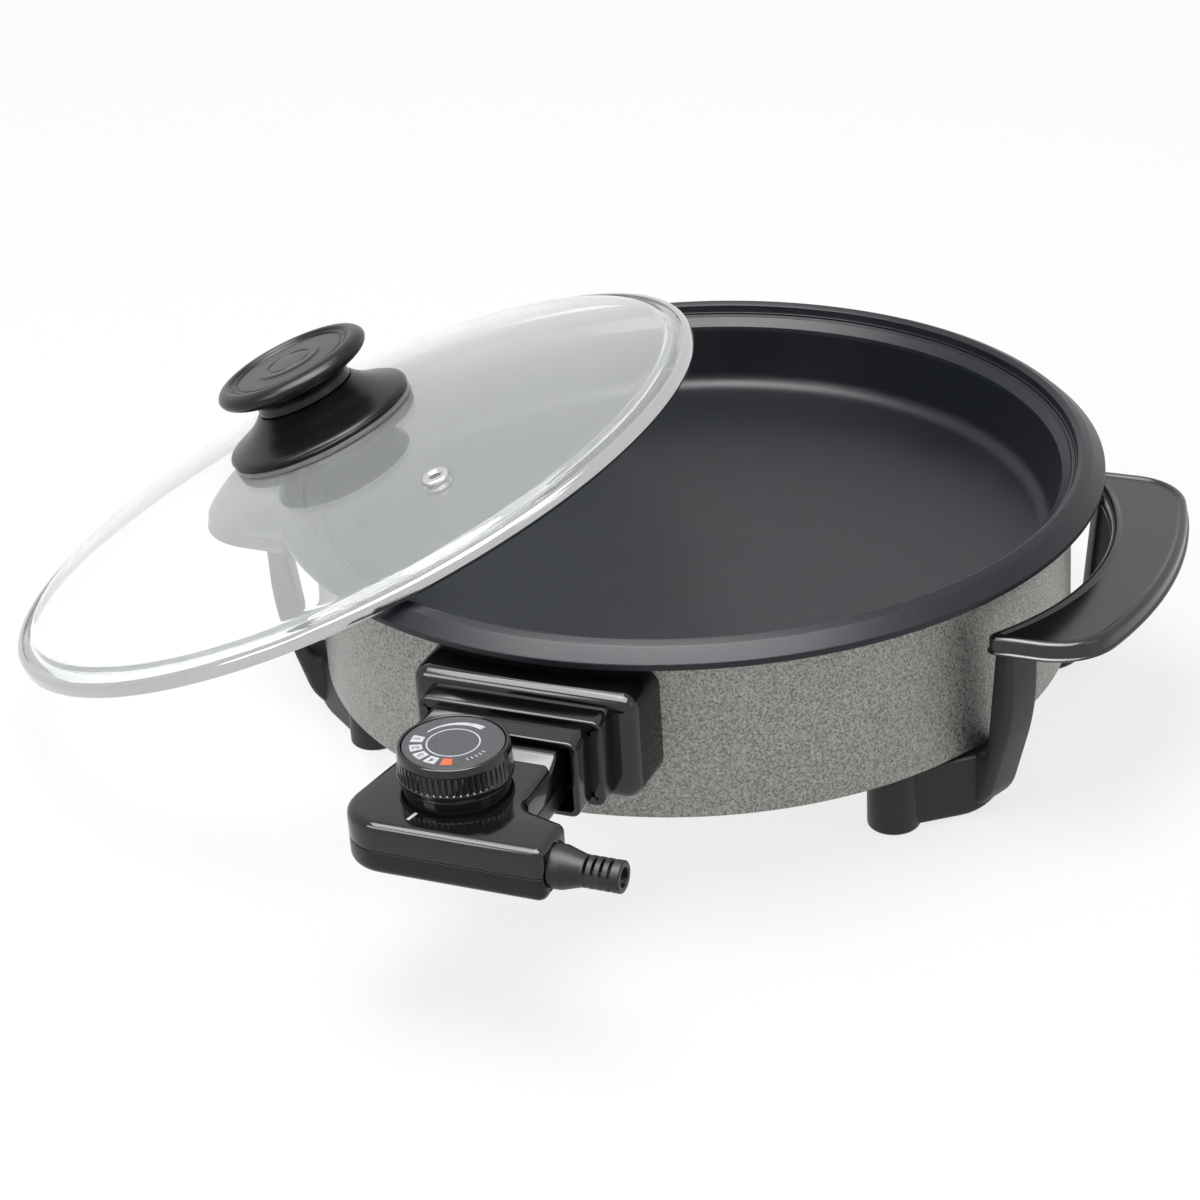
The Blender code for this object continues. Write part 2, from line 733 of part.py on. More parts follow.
def make_jacket():
    """Make the steel jacket, hemmed in at the bottom, with the socket's window."""
    top = LIP_UNDERSIDE - GAP
    inner = JACKET_INNER_RADIUS
    profile = [
        (JACKET_RADIUS, top),
        (JACKET_RADIUS, JACKET_BOTTOM + JACKET_CORNER),
        (JACKET_RADIUS - JACKET_CORNER, JACKET_BOTTOM),
        (JACKET_RADIUS - JACKET_HEM, JACKET_BOTTOM),
        (JACKET_RADIUS - JACKET_HEM, JACKET_BOTTOM + JACKET_THICKNESS),
        (inner, JACKET_BOTTOM + JACKET_THICKNESS),
        (inner, top),
    ]
    jacket = turned("body_jacket", profile, PAN_STEPS, ring=True)
    side = SHROUD_HALF_WIDTH - JACKET_WINDOW_MARGIN
    window = box(
        "window",
        (-side, -JACKET_RADIUS - OVERRUN, SHROUD_BOTTOM + JACKET_WINDOW_MARGIN),
        (side, FLANGE_ROOT_Y, SHROUD_TOP - JACKET_WINDOW_MARGIN),
    )
    holes = [
        rod(
            "hole",
            SOCKET_SCREW_RADIUS + GAP,
            (x, -JACKET_RADIUS - OVERRUN, SOCKET_SCREW_Z),
            (x, FLANGE_ROOT_Y, SOCKET_SCREW_Z),
            SCREW_STEPS,
        )
        for x in (-SOCKET_SCREW_X, SOCKET_SCREW_X)
    ]
    carve(jacket, window, *holes)
    return finish(jacket, "hammertone")


def make_base_plate():
    """Make the pressed steel base with its raised panel and screw holes."""
    top = [
        (0.0, BASE_TOP + BASE_PANEL_RISE),
        (BASE_PANEL_RADIUS, BASE_TOP + BASE_PANEL_RISE),
        (BASE_PANEL_RADIUS + BASE_PANEL_RISE, BASE_TOP),
        (BASE_RADIUS, BASE_TOP),
    ]
    bottom = [(radius, height - BASE_THICKNESS) for radius, height in reversed(top)]
    plate = turned("base_plate", top + bottom, PAN_STEPS)
    low, high = BASE_UNDERSIDE - OVERRUN, BASE_TOP + OVERRUN
    holes = [rod("hole", BASE_HOLE_RADIUS, (x, y, low), (x, y, high), SCREW_STEPS) for x, y in POSTS]
    carve(plate, *holes)
    return finish(plate, "steel")


def make_reflector():
    """Make the aluminium dish that stands on the base plate under the element."""
    foot = BASE_TOP + GAP
    rise = REFLECTOR_THICKNESS
    top = [
        (0.0, REFLECTOR_TOP),
        (REFLECTOR_RADIUS - REFLECTOR_FLANGE - REFLECTOR_SLOPE, REFLECTOR_TOP),
        (REFLECTOR_RADIUS - REFLECTOR_FLANGE, foot + rise),
        (REFLECTOR_RADIUS, foot + rise),
    ]
    bottom = [
        (REFLECTOR_RADIUS, foot),
        (REFLECTOR_RADIUS - REFLECTOR_FLANGE - rise, foot),
        (REFLECTOR_RADIUS - REFLECTOR_FLANGE - REFLECTOR_SLOPE - rise, REFLECTOR_TOP - rise),
        (0.0, REFLECTOR_TOP - rise),
    ]
    return finish(turned("heat_reflector", top + bottom, PAN_STEPS // 2), "aluminium")


def element_route():
    """Return the element's centre line: in from one pin, round the ring and out to the other."""
    bend_x = ELEMENT_LEAD_X + ELEMENT_BEND
    bend_y = -math.sqrt((ELEMENT_RING_RADIUS - ELEMENT_BEND) ** 2 - bend_x**2)
    meet = math.atan2(bend_y, bend_x)
    half = [
        (ELEMENT_LEAD_X, ELEMENT_END_Y),
        *bend_back(bend_x, bend_y, meet),
        *arc((0.0, 0.0), ELEMENT_RING_RADIUS, meet, math.pi / 2, ELEMENT_STEPS // 2)[1:],
    ]
    other = [(-x, y) for x, y in reversed(half[:-1])]
    return [(x, y, ELEMENT_Z) for x, y in half + other]


def bend_back(x, y, meet):
    """Return the bend from the straight lead, past the ring's line, onto the ring."""
    return arc((x, y), ELEMENT_BEND, math.pi, math.tau + meet, BEND_STEPS * 2)


def make_element():
    """Make the sheathed ring element, its clips, its pins and the ceramic bushes."""
    element = wire("heating_element", element_route(), ELEMENT_RADIUS)
    finish(element, "sheath")

    hug = ELEMENT_RADIUS + CLIP_CLEARANCE
    skin = hug + CLIP_THICKNESS
    base = FLOOR_UNDERSIDE - GAP
    below = base - CLIP_THICKNESS
    inner = arc((0.0, ELEMENT_Z), hug, 0.0, -math.pi, CLIP_STEPS)
    outer = arc((0.0, ELEMENT_Z), skin, -math.pi, 0.0, CLIP_STEPS)
    outline = [
        (skin + CLIP_EAR, base),
        (hug, base),
        *inner,
        (-hug, base),
        (-skin - CLIP_EAR, base),
        (-skin - CLIP_EAR, below),
        (-skin, below),
        *outer,
        (skin, below),
        (skin + CLIP_EAR, below),
    ]
    clips = []
    for degrees in CLIP_ANGLES_DEG:
        x, y = polar(ELEMENT_RING_RADIUS, degrees)
        turn = (0.0, 0.0, math.radians(degrees))
        half = CLIP_WIDTH / 2
        clips.append(slab("clip", outline, -half, half, "Y", (x, y, 0.0), turn))
    finish_each("element_clip", clips, "steel")

    pins = [
        rod("pin", PIN_RADIUS, (x, PIN_TIP_Y, ROD_Z), (x, PIN_ROOT_Y, ROD_Z))
        for x in (-ELEMENT_LEAD_X, ELEMENT_LEAD_X)
    ]
    finish_each("terminal_pin", pins, "steel")

    start = -(SHROUD_BACK_Y - GAP)
    bore = PIN_RADIUS + GAP
    profile = [
        (BUSH_FLANGE_RADIUS, start + BUSH_FLANGE),
        (BUSH_FLANGE_RADIUS, start),
        (BUSH_RADIUS, start),
        (BUSH_RADIUS, start - BUSH_REACH),
        (bore, start - BUSH_REACH),
        (bore, start + BUSH_FLANGE),
    ]
    facing = (math.radians(90), 0.0, 0.0)
    bushes = [
        turned("bush", profile, SMALL_STEPS, (x, 0.0, ROD_Z), facing, ring=True)
        for x in (-ELEMENT_LEAD_X, ELEMENT_LEAD_X)
    ]
    finish_each("terminal_bush", bushes, "ceramic")


def make_socket():
    """Make the socket housing with its flange and shroud, and the screws that hold it."""
    flange = box(
        "socket_housing",
        (-FLANGE_HALF_WIDTH, FLANGE_FRONT_Y, FLANGE_BOTTOM),
        (FLANGE_HALF_WIDTH, FLANGE_ROOT_Y, FLANGE_TOP),
    )
    softened(flange, FLANGE_ROUND, 3)
    shroud = box(
        "shroud",
        (-SHROUD_HALF_WIDTH, SHROUD_FRONT_Y, SHROUD_BOTTOM),
        (SHROUD_HALF_WIDTH, SHROUD_BACK_Y, SHROUD_TOP),
    )
    softened(shroud, SHROUD_ROUND)
    fuse(flange, shroud)

    wall = [
        (0.0, FLANGE_TOP + OVERRUN),
        (JACKET_RADIUS + GAP, FLANGE_TOP + OVERRUN),
        (JACKET_RADIUS + GAP, FLANGE_BOTTOM - OVERRUN),
        (0.0, FLANGE_BOTTOM - OVERRUN),
    ]
    body = turned("wall", wall, PAN_STEPS)
    cavity_side = SHROUD_HALF_WIDTH - SHROUD_WALL
    cavity = box(
        "cavity",
        (-cavity_side, SHROUD_FRONT_Y - OVERRUN, SHROUD_BOTTOM + SHROUD_WALL),
        (cavity_side, SHROUD_BACK_Y, SHROUD_TOP - SHROUD_WALL),
    )
    tools = [body, cavity]
    front, back = SHROUD_BACK_Y - OVERRUN, FLANGE_ROOT_Y
    for x, radius in (
        (-ELEMENT_LEAD_X, BUSH_RADIUS + GAP),
        (0.0, BORE_RADIUS),
        (ELEMENT_LEAD_X, BUSH_RADIUS + GAP),
    ):
        tools.append(rod("hole", radius, (x, front, ROD_Z), (x, back, ROD_Z)))
    screws = []
    for x in (-SOCKET_SCREW_X, SOCKET_SCREW_X):
        reach = SOCKET_SCREW_HEAD_RADIUS + abs(x)
        seat = -math.sqrt(JACKET_INNER_RADIUS**2 - reach**2) + GAP
        tip = seat - SOCKET_SCREW_LENGTH
        hole_radius = SOCKET_SCREW_RADIUS + GAP
        hole_end = (x, tip - GAP, SOCKET_SCREW_Z)
        tools.append(rod("hole", hole_radius, hole_end, (x, back, SOCKET_SCREW_Z), SCREW_STEPS))
        profile = [
            (0.0, -tip),
            (SOCKET_SCREW_RADIUS, -tip),
            (SOCKET_SCREW_RADIUS, -seat),
            (SOCKET_SCREW_HEAD_RADIUS, -seat),
            (SOCKET_SCREW_HEAD_RADIUS, -seat - SOCKET_SCREW_HEAD),
            (0.0, -seat - SOCKET_SCREW_HEAD),
        ]
        facing = (math.radians(90), 0.0, 0.0)
        screws.append(turned("screw", profile, SCREW_STEPS, (x, 0.0, SOCKET_SCREW_Z), facing))
    carve(flange, *tools)
    finish(flange, "phenolic")
    finish_each("socket_screw", screws, "steel")


def grip_outline(inset):
    """Return the plan of a handle's grip on +X, drawn in by an inset."""
    inner = GRIP_INNER_RADIUS - GRIP_CURVE_OFFSET + inset
    outer = GRIP_OUTER_RADIUS - inset
    corner = GRIP_CORNER - inset
    limit = math.radians(GRIP_HALF_ANGLE_DEG)
    half = limit - inset / outer
    corner_radius = outer - corner
    corner_angle = half - math.asin(corner / corner_radius)
    centre = (corner_radius * math.cos(corner_angle), corner_radius * math.sin(corner_angle))
    end = arc(centre, corner, corner_angle, half + math.pi / 2, BEND_STEPS)
    mirrored = [(x, -y) for x, y in reversed(end)]
    # The inner edge is curved tighter than the lip, so that the grip's ends draw in under it.
    inner_half = half + math.asin(GRIP_CURVE_OFFSET * math.sin(half) / inner)
    inside = arc((GRIP_CURVE_OFFSET, 0.0), inner, inner_half, -inner_half, GRIP_ARC_STEPS)
    outside = arc((0.0, 0.0), outer, -corner_angle, corner_angle, GRIP_ARC_STEPS)
    return mirrored + outside[1:-1] + end + inside


def make_leg(side):
    """Return one leg of the handle on +X: strap, bent toe, web and foot, on one side of the axis."""
    toe_top = JACKET_BOTTOM - TOE_CLEARANCE
    leg_top = GRIP_TOP - GRIP_THICKNESS / 2
    outline = corners(
        [
            (LEG_TOP_RADIUS, leg_top, 0.0),
            (LEG_TOP_RADIUS, LEG_KNEE, LEG_KNEE_BEND),
            (LEG_FOOT_RADIUS, TOE_BOTTOM, LEG_BEND),
            (TOE_RADIUS, TOE_BOTTOM, 0.0),
            (TOE_RADIUS, toe_top, 0.0),
            (LEG_HEEL_RADIUS, toe_top, LEG_CROOK),
            (LEG_TOP_RADIUS - LEG_TOP_THICKNESS, leg_top, 0.0),
        ]
    )
    turn = math.radians(side * LEG_ANGLE_DEG)
    half = LEG_WIDTH / 2
    leg = slab("leg", outline, -half, half, "Y", rotation=(0.0, 0.0, turn))
    softened(leg, LEG_ROUND, 1)

    foot_x, foot_y = POST_X, side * POST_Y
    toe_x, toe_y = polar(TOE_RADIUS + WEB_WIDTH / 2, side * LEG_ANGLE_DEG)
    middle = ((foot_x + toe_x) / 2, (foot_y + toe_y) / 2)
    length = math.hypot(toe_x - foot_x, toe_y - foot_y)
    heading = math.atan2(toe_y - foot_y, toe_x - foot_x)
    across = WEB_WIDTH / 2
    sides = [(-length / 2, -across), (length / 2, -across), (length / 2, across), (-length / 2, across)]
    web = slab("web", sides, TOE_BOTTOM, toe_top, "Z", (*middle, 0.0), (0.0, 0.0, heading))
    foot_top = BASE_UNDERSIDE - GAP
    foot = rod("foot", FOOT_RADIUS, (foot_x, foot_y, FOOT_BOTTOM), (foot_x, foot_y, foot_top))
    return fuse(leg, web, foot)


def make_handle(name, turn):
    """Make one moulding: grip, two legs and two feet."""
    low = GRIP_TOP - GRIP_THICKNESS
    handle = slab(name, grip_outline(0.0), low, GRIP_TOP)
    softened(handle, GRIP_ROUND)
    dish = slab("dish", grip_outline(GRIP_RIM), GRIP_TOP - GRIP_DISH, GRIP_TOP + OVERRUN)
    carve(handle, dish)
    fuse(handle, make_leg(-1), make_leg(1))
    holes = []
    for y in (-POST_Y, POST_Y):
        under = (POST_X, y, FOOT_BOTTOM - OVERRUN)
        holes.append(rod("hole", FOOT_BORE_RADIUS, under, (POST_X, y, BASE_TOP), SCREW_STEPS))
        holes.append(rod("pocket", FOOT_POCKET_RADIUS, under, (POST_X, y, FOOT_SHOULDER)))
    carve(handle, *holes)
    handle.rotation_euler = (0.0, 0.0, turn)
    return finish(handle, "phenolic")


def make_base_screws():
    """Make the four long screws that pull the feet and the base plate up to the pan's posts."""
    seat = FOOT_SHOULDER - GAP
    tip = POST_BOTTOM + BASE_SCREW_GRIP
    profile = [
        (0.0, tip),
        (BASE_SCREW_RADIUS, tip),
        (BASE_SCREW_RADIUS, seat),
        (BASE_SCREW_HEAD_RADIUS, seat),
        (BASE_SCREW_HEAD_RADIUS, seat - BASE_SCREW_HEAD),
        (0.0, seat - BASE_SCREW_HEAD),
    ]
    screws = [turned("screw", profile, SCREW_STEPS, (x, y, 0.0)) for x, y in POSTS]
    finish_each("base_screw", screws, "steel")


def case_outline(inset):
    """Return the plan of the heat control's case, drawn in by an inset."""
    right = NECK_HALF_WIDTH - inset
    back = CASE_BACK_Y - inset
    crook = CASE_CROOK_Y - inset
    end = CASE_END_X - inset
    front = CASE_FRONT_Y + inset
    left = CASE_LEFT_X + inset
    shoulder = CASE_SHOULDER_X + inset
    edge = max(CASE_EDGE - inset, inset)
    return corners(
        [
            (-right, NECK_END_Y - inset, 0.0),
            (-right, CASE_SHOULDER_TOP_Y - inset / 2, CASE_SHOULDER_ROUND / 2),
            (shoulder, CASE_SHOULDER_Y - inset, CASE_SHOULDER_ROUND),
            (left, front, CASE_CORNER - inset),
            (end, front, edge),
            (end, back, edge),
            (right, crook, CASE_CROOK_ROUND + inset),
            (right, NECK_END_Y - inset, 0.0),
        ]
    )


def case_block(name, low, high):
    """Return a block that covers the whole plan of the case between two heights."""
    return box(
        name,
        (CASE_LEFT_X - CASE_CORNER, CASE_FRONT_Y - CASE_CORNER, low),
        (CASE_END_X + CASE_CORNER, NECK_END_Y + CASE_CORNER, high),
    )


def case_bosses():
    """Return the columns that stay solid round the case's screws, taller than the case."""
    return [
        rod("boss", CASE_BOSS_RADIUS, (x, y, CASE_BOTTOM - OVERRUN), (x, y, CASE_TOP + OVERRUN))
        for x, y in CASE_SCREW_PLACES
    ]


def make_case(probe):
    """Make the two halves of the heat control's case and the screws that join them."""
    upper = slab("control_top", case_outline(0.0), CASE_PARTING - CASE_ROUND * 2, CASE_TOP)
    softened(upper, CASE_ROUND)
    carve(upper, case_block("flat", CASE_BOTTOM, CASE_PARTING))
    hump = slab(
        "hump",
        [
            (NECK_END_Y - NECK_LAND_INSET, CASE_PARTING + CASE_ROUND),
            (NECK_END_Y - NECK_LAND_INSET, NECK_TOP),
            (NECK_RAMP_TOP_Y, NECK_TOP),
            (NECK_RAMP_FOOT_Y, CASE_TOP - CASE_WALL / 2),
            (NECK_RAMP_FOOT_Y, CASE_PARTING + CASE_ROUND),
        ],
        NECK_LAND_INSET - NECK_HALF_WIDTH,
        NECK_HALF_WIDTH - NECK_LAND_INSET,
        "X",
    )
    softened(hump, CASE_ROUND / 2)
    collar_top = DIAL_BOTTOM - DIAL_TURN_GAP
    collar_root = (DIAL_X, DIAL_Y, CASE_CAVITY_TOP)
    collar = rod("collar", DIAL_COLLAR_RADIUS, collar_root, (DIAL_X, DIAL_Y, collar_top), KNOB_STEPS)
    fuse(upper, hump, collar, solver="MANIFOLD")
    cavity = slab("cavity", case_outline(CASE_WALL), CASE_PARTING - OVERRUN, CASE_CAVITY_TOP)
    carve(upper, carve(cavity, *case_bosses()))

    lower = slab("control_bottom", case_outline(0.0), CASE_BOTTOM, CASE_PARTING + CASE_ROUND * 2)
    softened(lower, CASE_ROUND)
    carve(lower, case_block("flat", CASE_PARTING - GAP, CASE_TOP))
    cavity = slab("cavity", case_outline(CASE_WALL), CASE_CAVITY_BOTTOM, CASE_PARTING + OVERRUN)
    carve(lower, carve(cavity, *case_bosses()))

    screws = []
    upper_holes, lower_holes = [], []
    head_top = CASE_BOTTOM + CASE_SCREW_POCKET
    tip = CASE_PARTING + CASE_SCREW_REACH
    for x, y in CASE_SCREW_PLACES:
        clear = CASE_SCREW_RADIUS + GAP
        below = (x, y, CASE_BOTTOM - OVERRUN)
        upper_holes.append(rod("hole", clear, below, (x, y, tip + GAP), SCREW_STEPS))
        lower_holes.append(rod("hole", clear, below, (x, y, CASE_PARTING + OVERRUN), SCREW_STEPS))
        pocket = CASE_SCREW_HEAD_RADIUS + GAP
        lower_holes.append(rod("pocket", pocket, below, (x, y, head_top), SCREW_STEPS))
        seat = head_top - GAP
        profile = [
            (0.0, tip),
            (CASE_SCREW_RADIUS, tip),
            (CASE_SCREW_RADIUS, seat),
            (CASE_SCREW_HEAD_RADIUS, seat),
            (CASE_SCREW_HEAD_RADIUS, seat - CASE_SCREW_HEAD),
            (0.0, seat - CASE_SCREW_HEAD),
        ]
        screws.append(turned("screw", profile, SCREW_STEPS, (x, y, 0.0)))

    inward = CASE_END_X - CASE_WALL - OVERRUN
    outward = CASE_END_X + OVERRUN
    recess_x = CASE_END_X - BOOT_RECESS_DEPTH
    for half, tools in ((upper, upper_holes), (lower, lower_holes)):
        neck_hole = BOOT_NECK_RADIUS + GAP
        tools.append(along_x("mouth", neck_hole, inward, outward))
        tools.append(along_x("recess", BOOT_RECESS_RADIUS, recess_x, outward))
    stem = DIAL_STEM_RADIUS + DIAL_TURN_GAP
    stem_low, stem_high = (DIAL_X, DIAL_Y, CASE_PARTING), (DIAL_X, DIAL_Y, DIAL_TOP)
    upper_holes.append(rod("stem", stem, stem_low, stem_high))
    neck_front, neck_back = NECK_END_Y - CASE_WALL - OVERRUN, NECK_END_Y + OVERRUN
    for x, radius in (
        (-ELEMENT_LEAD_X, PIN_RADIUS + GAP),
        (0.0, BORE_RADIUS),
        (ELEMENT_LEAD_X, PIN_RADIUS + GAP),
    ):
        lower_holes.append(rod("hole", radius, (x, neck_front, ROD_Z), (x, neck_back, ROD_Z)))
    carve(upper, *upper_holes, solver="MANIFOLD")
    carve(lower, *lower_holes, solver="MANIFOLD")
    finish(upper, "phenolic", probe)
    finish(lower, "phenolic", probe)
    finish_each("case_screw", screws, "steel", probe)


def along_x(name, radius, start, end):
    """Return a cylinder on the boot's axis between two values of x."""
    middle = CASE_PARTING
    return rod(name, radius, (start, BOOT_Y, middle), (end, BOOT_Y, middle), BOOT_STEPS)


def make_boot(probe):
    """Make the rubber boot: tail inside the case, neck, collar, cone and slotted sleeve."""
    seat = CASE_END_X - BOOT_RECESS_DEPTH + GAP
    wall = CASE_END_X - CASE_WALL - GAP
    collar_end = seat + BOOT_COLLAR
    cone_end = collar_end + BOOT_CONE
    profile = [
        (BOOT_BORE_RADIUS, BOOT_SLEEVE_END),
        (BOOT_SLEEVE_RADIUS, BOOT_SLEEVE_END),
        (BOOT_SLEEVE_RADIUS, cone_end),
        (BOOT_COLLAR_RADIUS, collar_end),
        (BOOT_COLLAR_RADIUS, seat),
        (BOOT_NECK_RADIUS, seat),
        (BOOT_NECK_RADIUS, wall),
        (BOOT_TAIL_RADIUS, wall),
        (BOOT_TAIL_RADIUS, wall - BOOT_TAIL),
        (BOOT_BORE_RADIUS, wall - BOOT_TAIL),
    ]
    location = (0.0, BOOT_Y, CASE_PARTING)
    facing = (0.0, math.radians(90), 0.0)
    boot = turned("cord_boot", profile, BOOT_STEPS, location, facing, ring=True)
    slits = []
    reach = BOOT_SLEEVE_RADIUS + OVERRUN
    bridge = BOOT_BORE_RADIUS / 2
    for index in range(BOOT_SLITS):
        start = BOOT_SLIT_START + index * BOOT_SLIT_PITCH
        for low, high in ((bridge, reach), (-reach, -bridge)):
            slits.append(
                box(
                    "slit",
                    (start, BOOT_Y - reach, CASE_PARTING + low),
                    (start + BOOT_SLIT, BOOT_Y + reach, CASE_PARTING + high),
                )
            )
    carve(boot, *slits)
    return finish(boot, "rubber", probe)


def make_control_insides(probe):
    """Make the sensor rod, the pin sockets and the switch inside the heat control."""
    frame_back = DIAL_Y + FRAME_HALF_DEPTH
    rod_end = frame_back + GAP
    tip = WELL_BORE_END_Y - GAP
    finish(rod("sensor_rod", ROD_RADIUS, (0.0, rod_end, ROD_Z), (0.0, tip, ROD_Z)), "steel", probe)

    start = NECK_END_Y - CASE_WALL - GAP
    bore = PIN_RADIUS + GAP
    tubes = []
    for x in (-ELEMENT_LEAD_X, ELEMENT_LEAD_X):
        profile = [
            (SOCKET_TUBE_RADIUS, -start + SOCKET_TUBE_LENGTH),
            (SOCKET_TUBE_RADIUS, -start),
            (bore, -start),
            (bore, -start + SOCKET_TUBE_LENGTH),
        ]
        facing = (math.radians(90), 0.0, 0.0)
        tubes.append(turned("tube", profile, SMALL_STEPS, (x, 0.0, ROD_Z), facing, ring=True))
    finish_each("pin_socket", tubes, "brass", probe)

    floor = CASE_CAVITY_BOTTOM + GAP
    skin = FRAME_THICKNESS
    outline = [
        (FRAME_LEFT_X, floor),
        (FRAME_RIGHT_X, floor),
        (FRAME_RIGHT_X, FRAME_TOP),
        (FRAME_LEFT_X, FRAME_TOP),
        (FRAME_LEFT_X, FRAME_TOP - skin),
        (FRAME_RIGHT_X - skin, FRAME_TOP - skin),
        (FRAME_RIGHT_X - skin, floor + skin),
        (FRAME_LEFT_X, floor + skin),
    ]
    frame = slab("switch_frame", outline, DIAL_Y - FRAME_HALF_DEPTH, frame_back, "Y")
    stem = DIAL_STEM_RADIUS + DIAL_TURN_GAP
    stem_low, stem_high = (DIAL_X, DIAL_Y, 0.0), (DIAL_X, DIAL_Y, CASE_TOP)
    carve(frame, rod("stem", stem, stem_low, stem_high))
    finish(frame, "steel", probe)

    leaves, blocks = [], []
    left = DIAL_X - LEAF_OVERHANG
    right = STACK_X + LEAF_HALF_WIDTH
    stops = [floor + skin]
    for z in (LOWER_LEAF_Z, UPPER_LEAF_Z):
        low, high = z - LEAF_THICKNESS / 2, z + LEAF_THICKNESS / 2
        half = LEAF_HALF_WIDTH
        leaves.append(box("leaf", (left, DIAL_Y - half, low), (right, DIAL_Y + half, high)))
        stops += [low, high]
    stops.append(FRAME_TOP - skin)
    for low, high in zip(stops[::2], stops[1::2]):
        bottom, top = (STACK_X, DIAL_Y, low + GAP), (STACK_X, DIAL_Y, high - GAP)
        blocks.append(rod("block", STACK_RADIUS, bottom, top))
    finish_each("contact_leaf", leaves, "brass", probe)
    finish_each("stack_insulator", blocks, "ceramic", probe)


def make_dial(dial_axis):
    """Make the ribbed dial, its printed face and its stem."""
    recess = DIAL_TOP - DIAL_RECESS
    face_edge = DIAL_RADIUS - DIAL_RIM
    stem_top = DIAL_TOP - DIAL_STEM_DEPTH + DIAL_WALL
    waist = DIAL_RADIUS - DIAL_EDGE / 2
    profile = [
        (0.0, recess),
        (face_edge, recess),
        (face_edge, DIAL_TOP),
        (DIAL_RADIUS - DIAL_EDGE, DIAL_TOP),
        (DIAL_RADIUS, DIAL_TOP - DIAL_EDGE),
        (DIAL_RADIUS, DIAL_TOP - DIAL_CROWN),
        (waist, DIAL_RIB_TOP),
        (waist, DIAL_RIB_BOTTOM),
        (DIAL_RADIUS, DIAL_RIB_BOTTOM - DIAL_EDGE),
        (DIAL_RADIUS, DIAL_BOTTOM),
        (0.0, DIAL_BOTTOM),
    ]
    steps = DIAL_RIBS * 2
    dial = turned("dial", profile, steps, (DIAL_X, DIAL_Y, 0.0))
    press_ribs(dial.data, steps)
    inner = DIAL_RADIUS - DIAL_WALL
    roof = recess - DIAL_WALL
    bore = DIAL_STEM_RADIUS + GAP
    hollow = [
        (DIAL_HUB_RADIUS, roof),
        (inner, roof),
        (inner, DIAL_BOTTOM - OVERRUN),
        (bore, DIAL_BOTTOM - OVERRUN),
        (bore, DIAL_BOTTOM),
        (DIAL_HUB_RADIUS, DIAL_BOTTOM),
    ]
    below, above = (DIAL_X, DIAL_Y, DIAL_BOTTOM - OVERRUN), (DIAL_X, DIAL_Y, stem_top + GAP)
    carve(
        dial,
        turned("hollow", hollow, KNOB_STEPS, (DIAL_X, DIAL_Y, 0.0), ring=True),
        rod("bore", bore, below, above),
    )
    finish(dial, "phenolic", dial_axis)

    low = recess + GAP
    high = low + DIAL_FACE_THICKNESS
    edge = face_edge - GAP
    face = rod("dial_face", edge, (DIAL_X, DIAL_Y, low), (DIAL_X, DIAL_Y, high), steps // 2)
    finish(face, "print", dial_axis)

    stem_bottom = UPPER_LEAF_Z + LEAF_THICKNESS / 2 + GAP
    bottom, top = (DIAL_X, DIAL_Y, stem_bottom), (DIAL_X, DIAL_Y, stem_top)
    finish(rod("dial_stem", DIAL_STEM_RADIUS, bottom, top), "steel", dial_axis)


def press_ribs(mesh, steps):
    """Press every second column of the dial's grip band inward, which leaves the ribs."""
    band = (DIAL_RIB_BOTTOM - MERGE, DIAL_RIB_TOP + MERGE)
    outside = DIAL_RADIUS - DIAL_EDGE
    shrink = 1.0 - DIAL_RIB_DEPTH / DIAL_RADIUS
    for vertex in mesh.vertices:
        x, y, z = vertex.co
        column = round(math.atan2(y, x) / math.tau * steps)
        if band[0] < z < band[1] and math.hypot(x, y) > outside and column % 2:
            vertex.co.x *= shrink
            vertex.co.y *= shrink


def dome_height(radius):
    """Return the height of the glass's outer face above the lid's bottom plane."""
    return DOME_DROP + math.sqrt(DOME_SPHERE_RADIUS**2 - radius**2)


def dome_points(thickness):
    """Return points on the dome, lowered by a thickness, with one at the vent's radius."""
    start = KNOB_BORE_RADIUS
    radii = [start + (VENT_RADIUS - start) * step / DOME_RINGS for step in range(DOME_RINGS + 1)]
    radii.append(GLASS_DOME_RADIUS)
    return [(radius, dome_height(radius) - thickness) for radius in radii]


def glass_section():
    """Return the outer and inner lines of the glass from the knob's hole to its edge."""
    shoulder = GLASS_EDGE_RADIUS - GLASS_SHOULDER
    edge_top = RIM_STRIP + GAP + GLASS_THICKNESS
    rise = GLASS_SHOULDER / 3
    outer = dome_points(0.0)
    outer += [(shoulder, edge_top + rise), (GLASS_EDGE_RADIUS, edge_top)]
    inner = dome_points(GLASS_THICKNESS)
    inner += [(shoulder, edge_top + rise - GLASS_THICKNESS)]
    inner += [(GLASS_EDGE_RADIUS, edge_top - GLASS_THICKNESS)]
    return outer, inner


def lid_underside(radius):
    """Return the height of the lid's underside at a radius from its axis."""
    _, inner = glass_section()
    if radius > LID_RADIUS:
        return math.inf
    if radius > LID_RADIUS - RIM_LIP:
        return 0.0
    for (near, high), (far, low) in zip(inner, inner[1:]):
        if radius <= far:
            return high + (low - high) * (radius - near) / (far - near)
    return 0.0


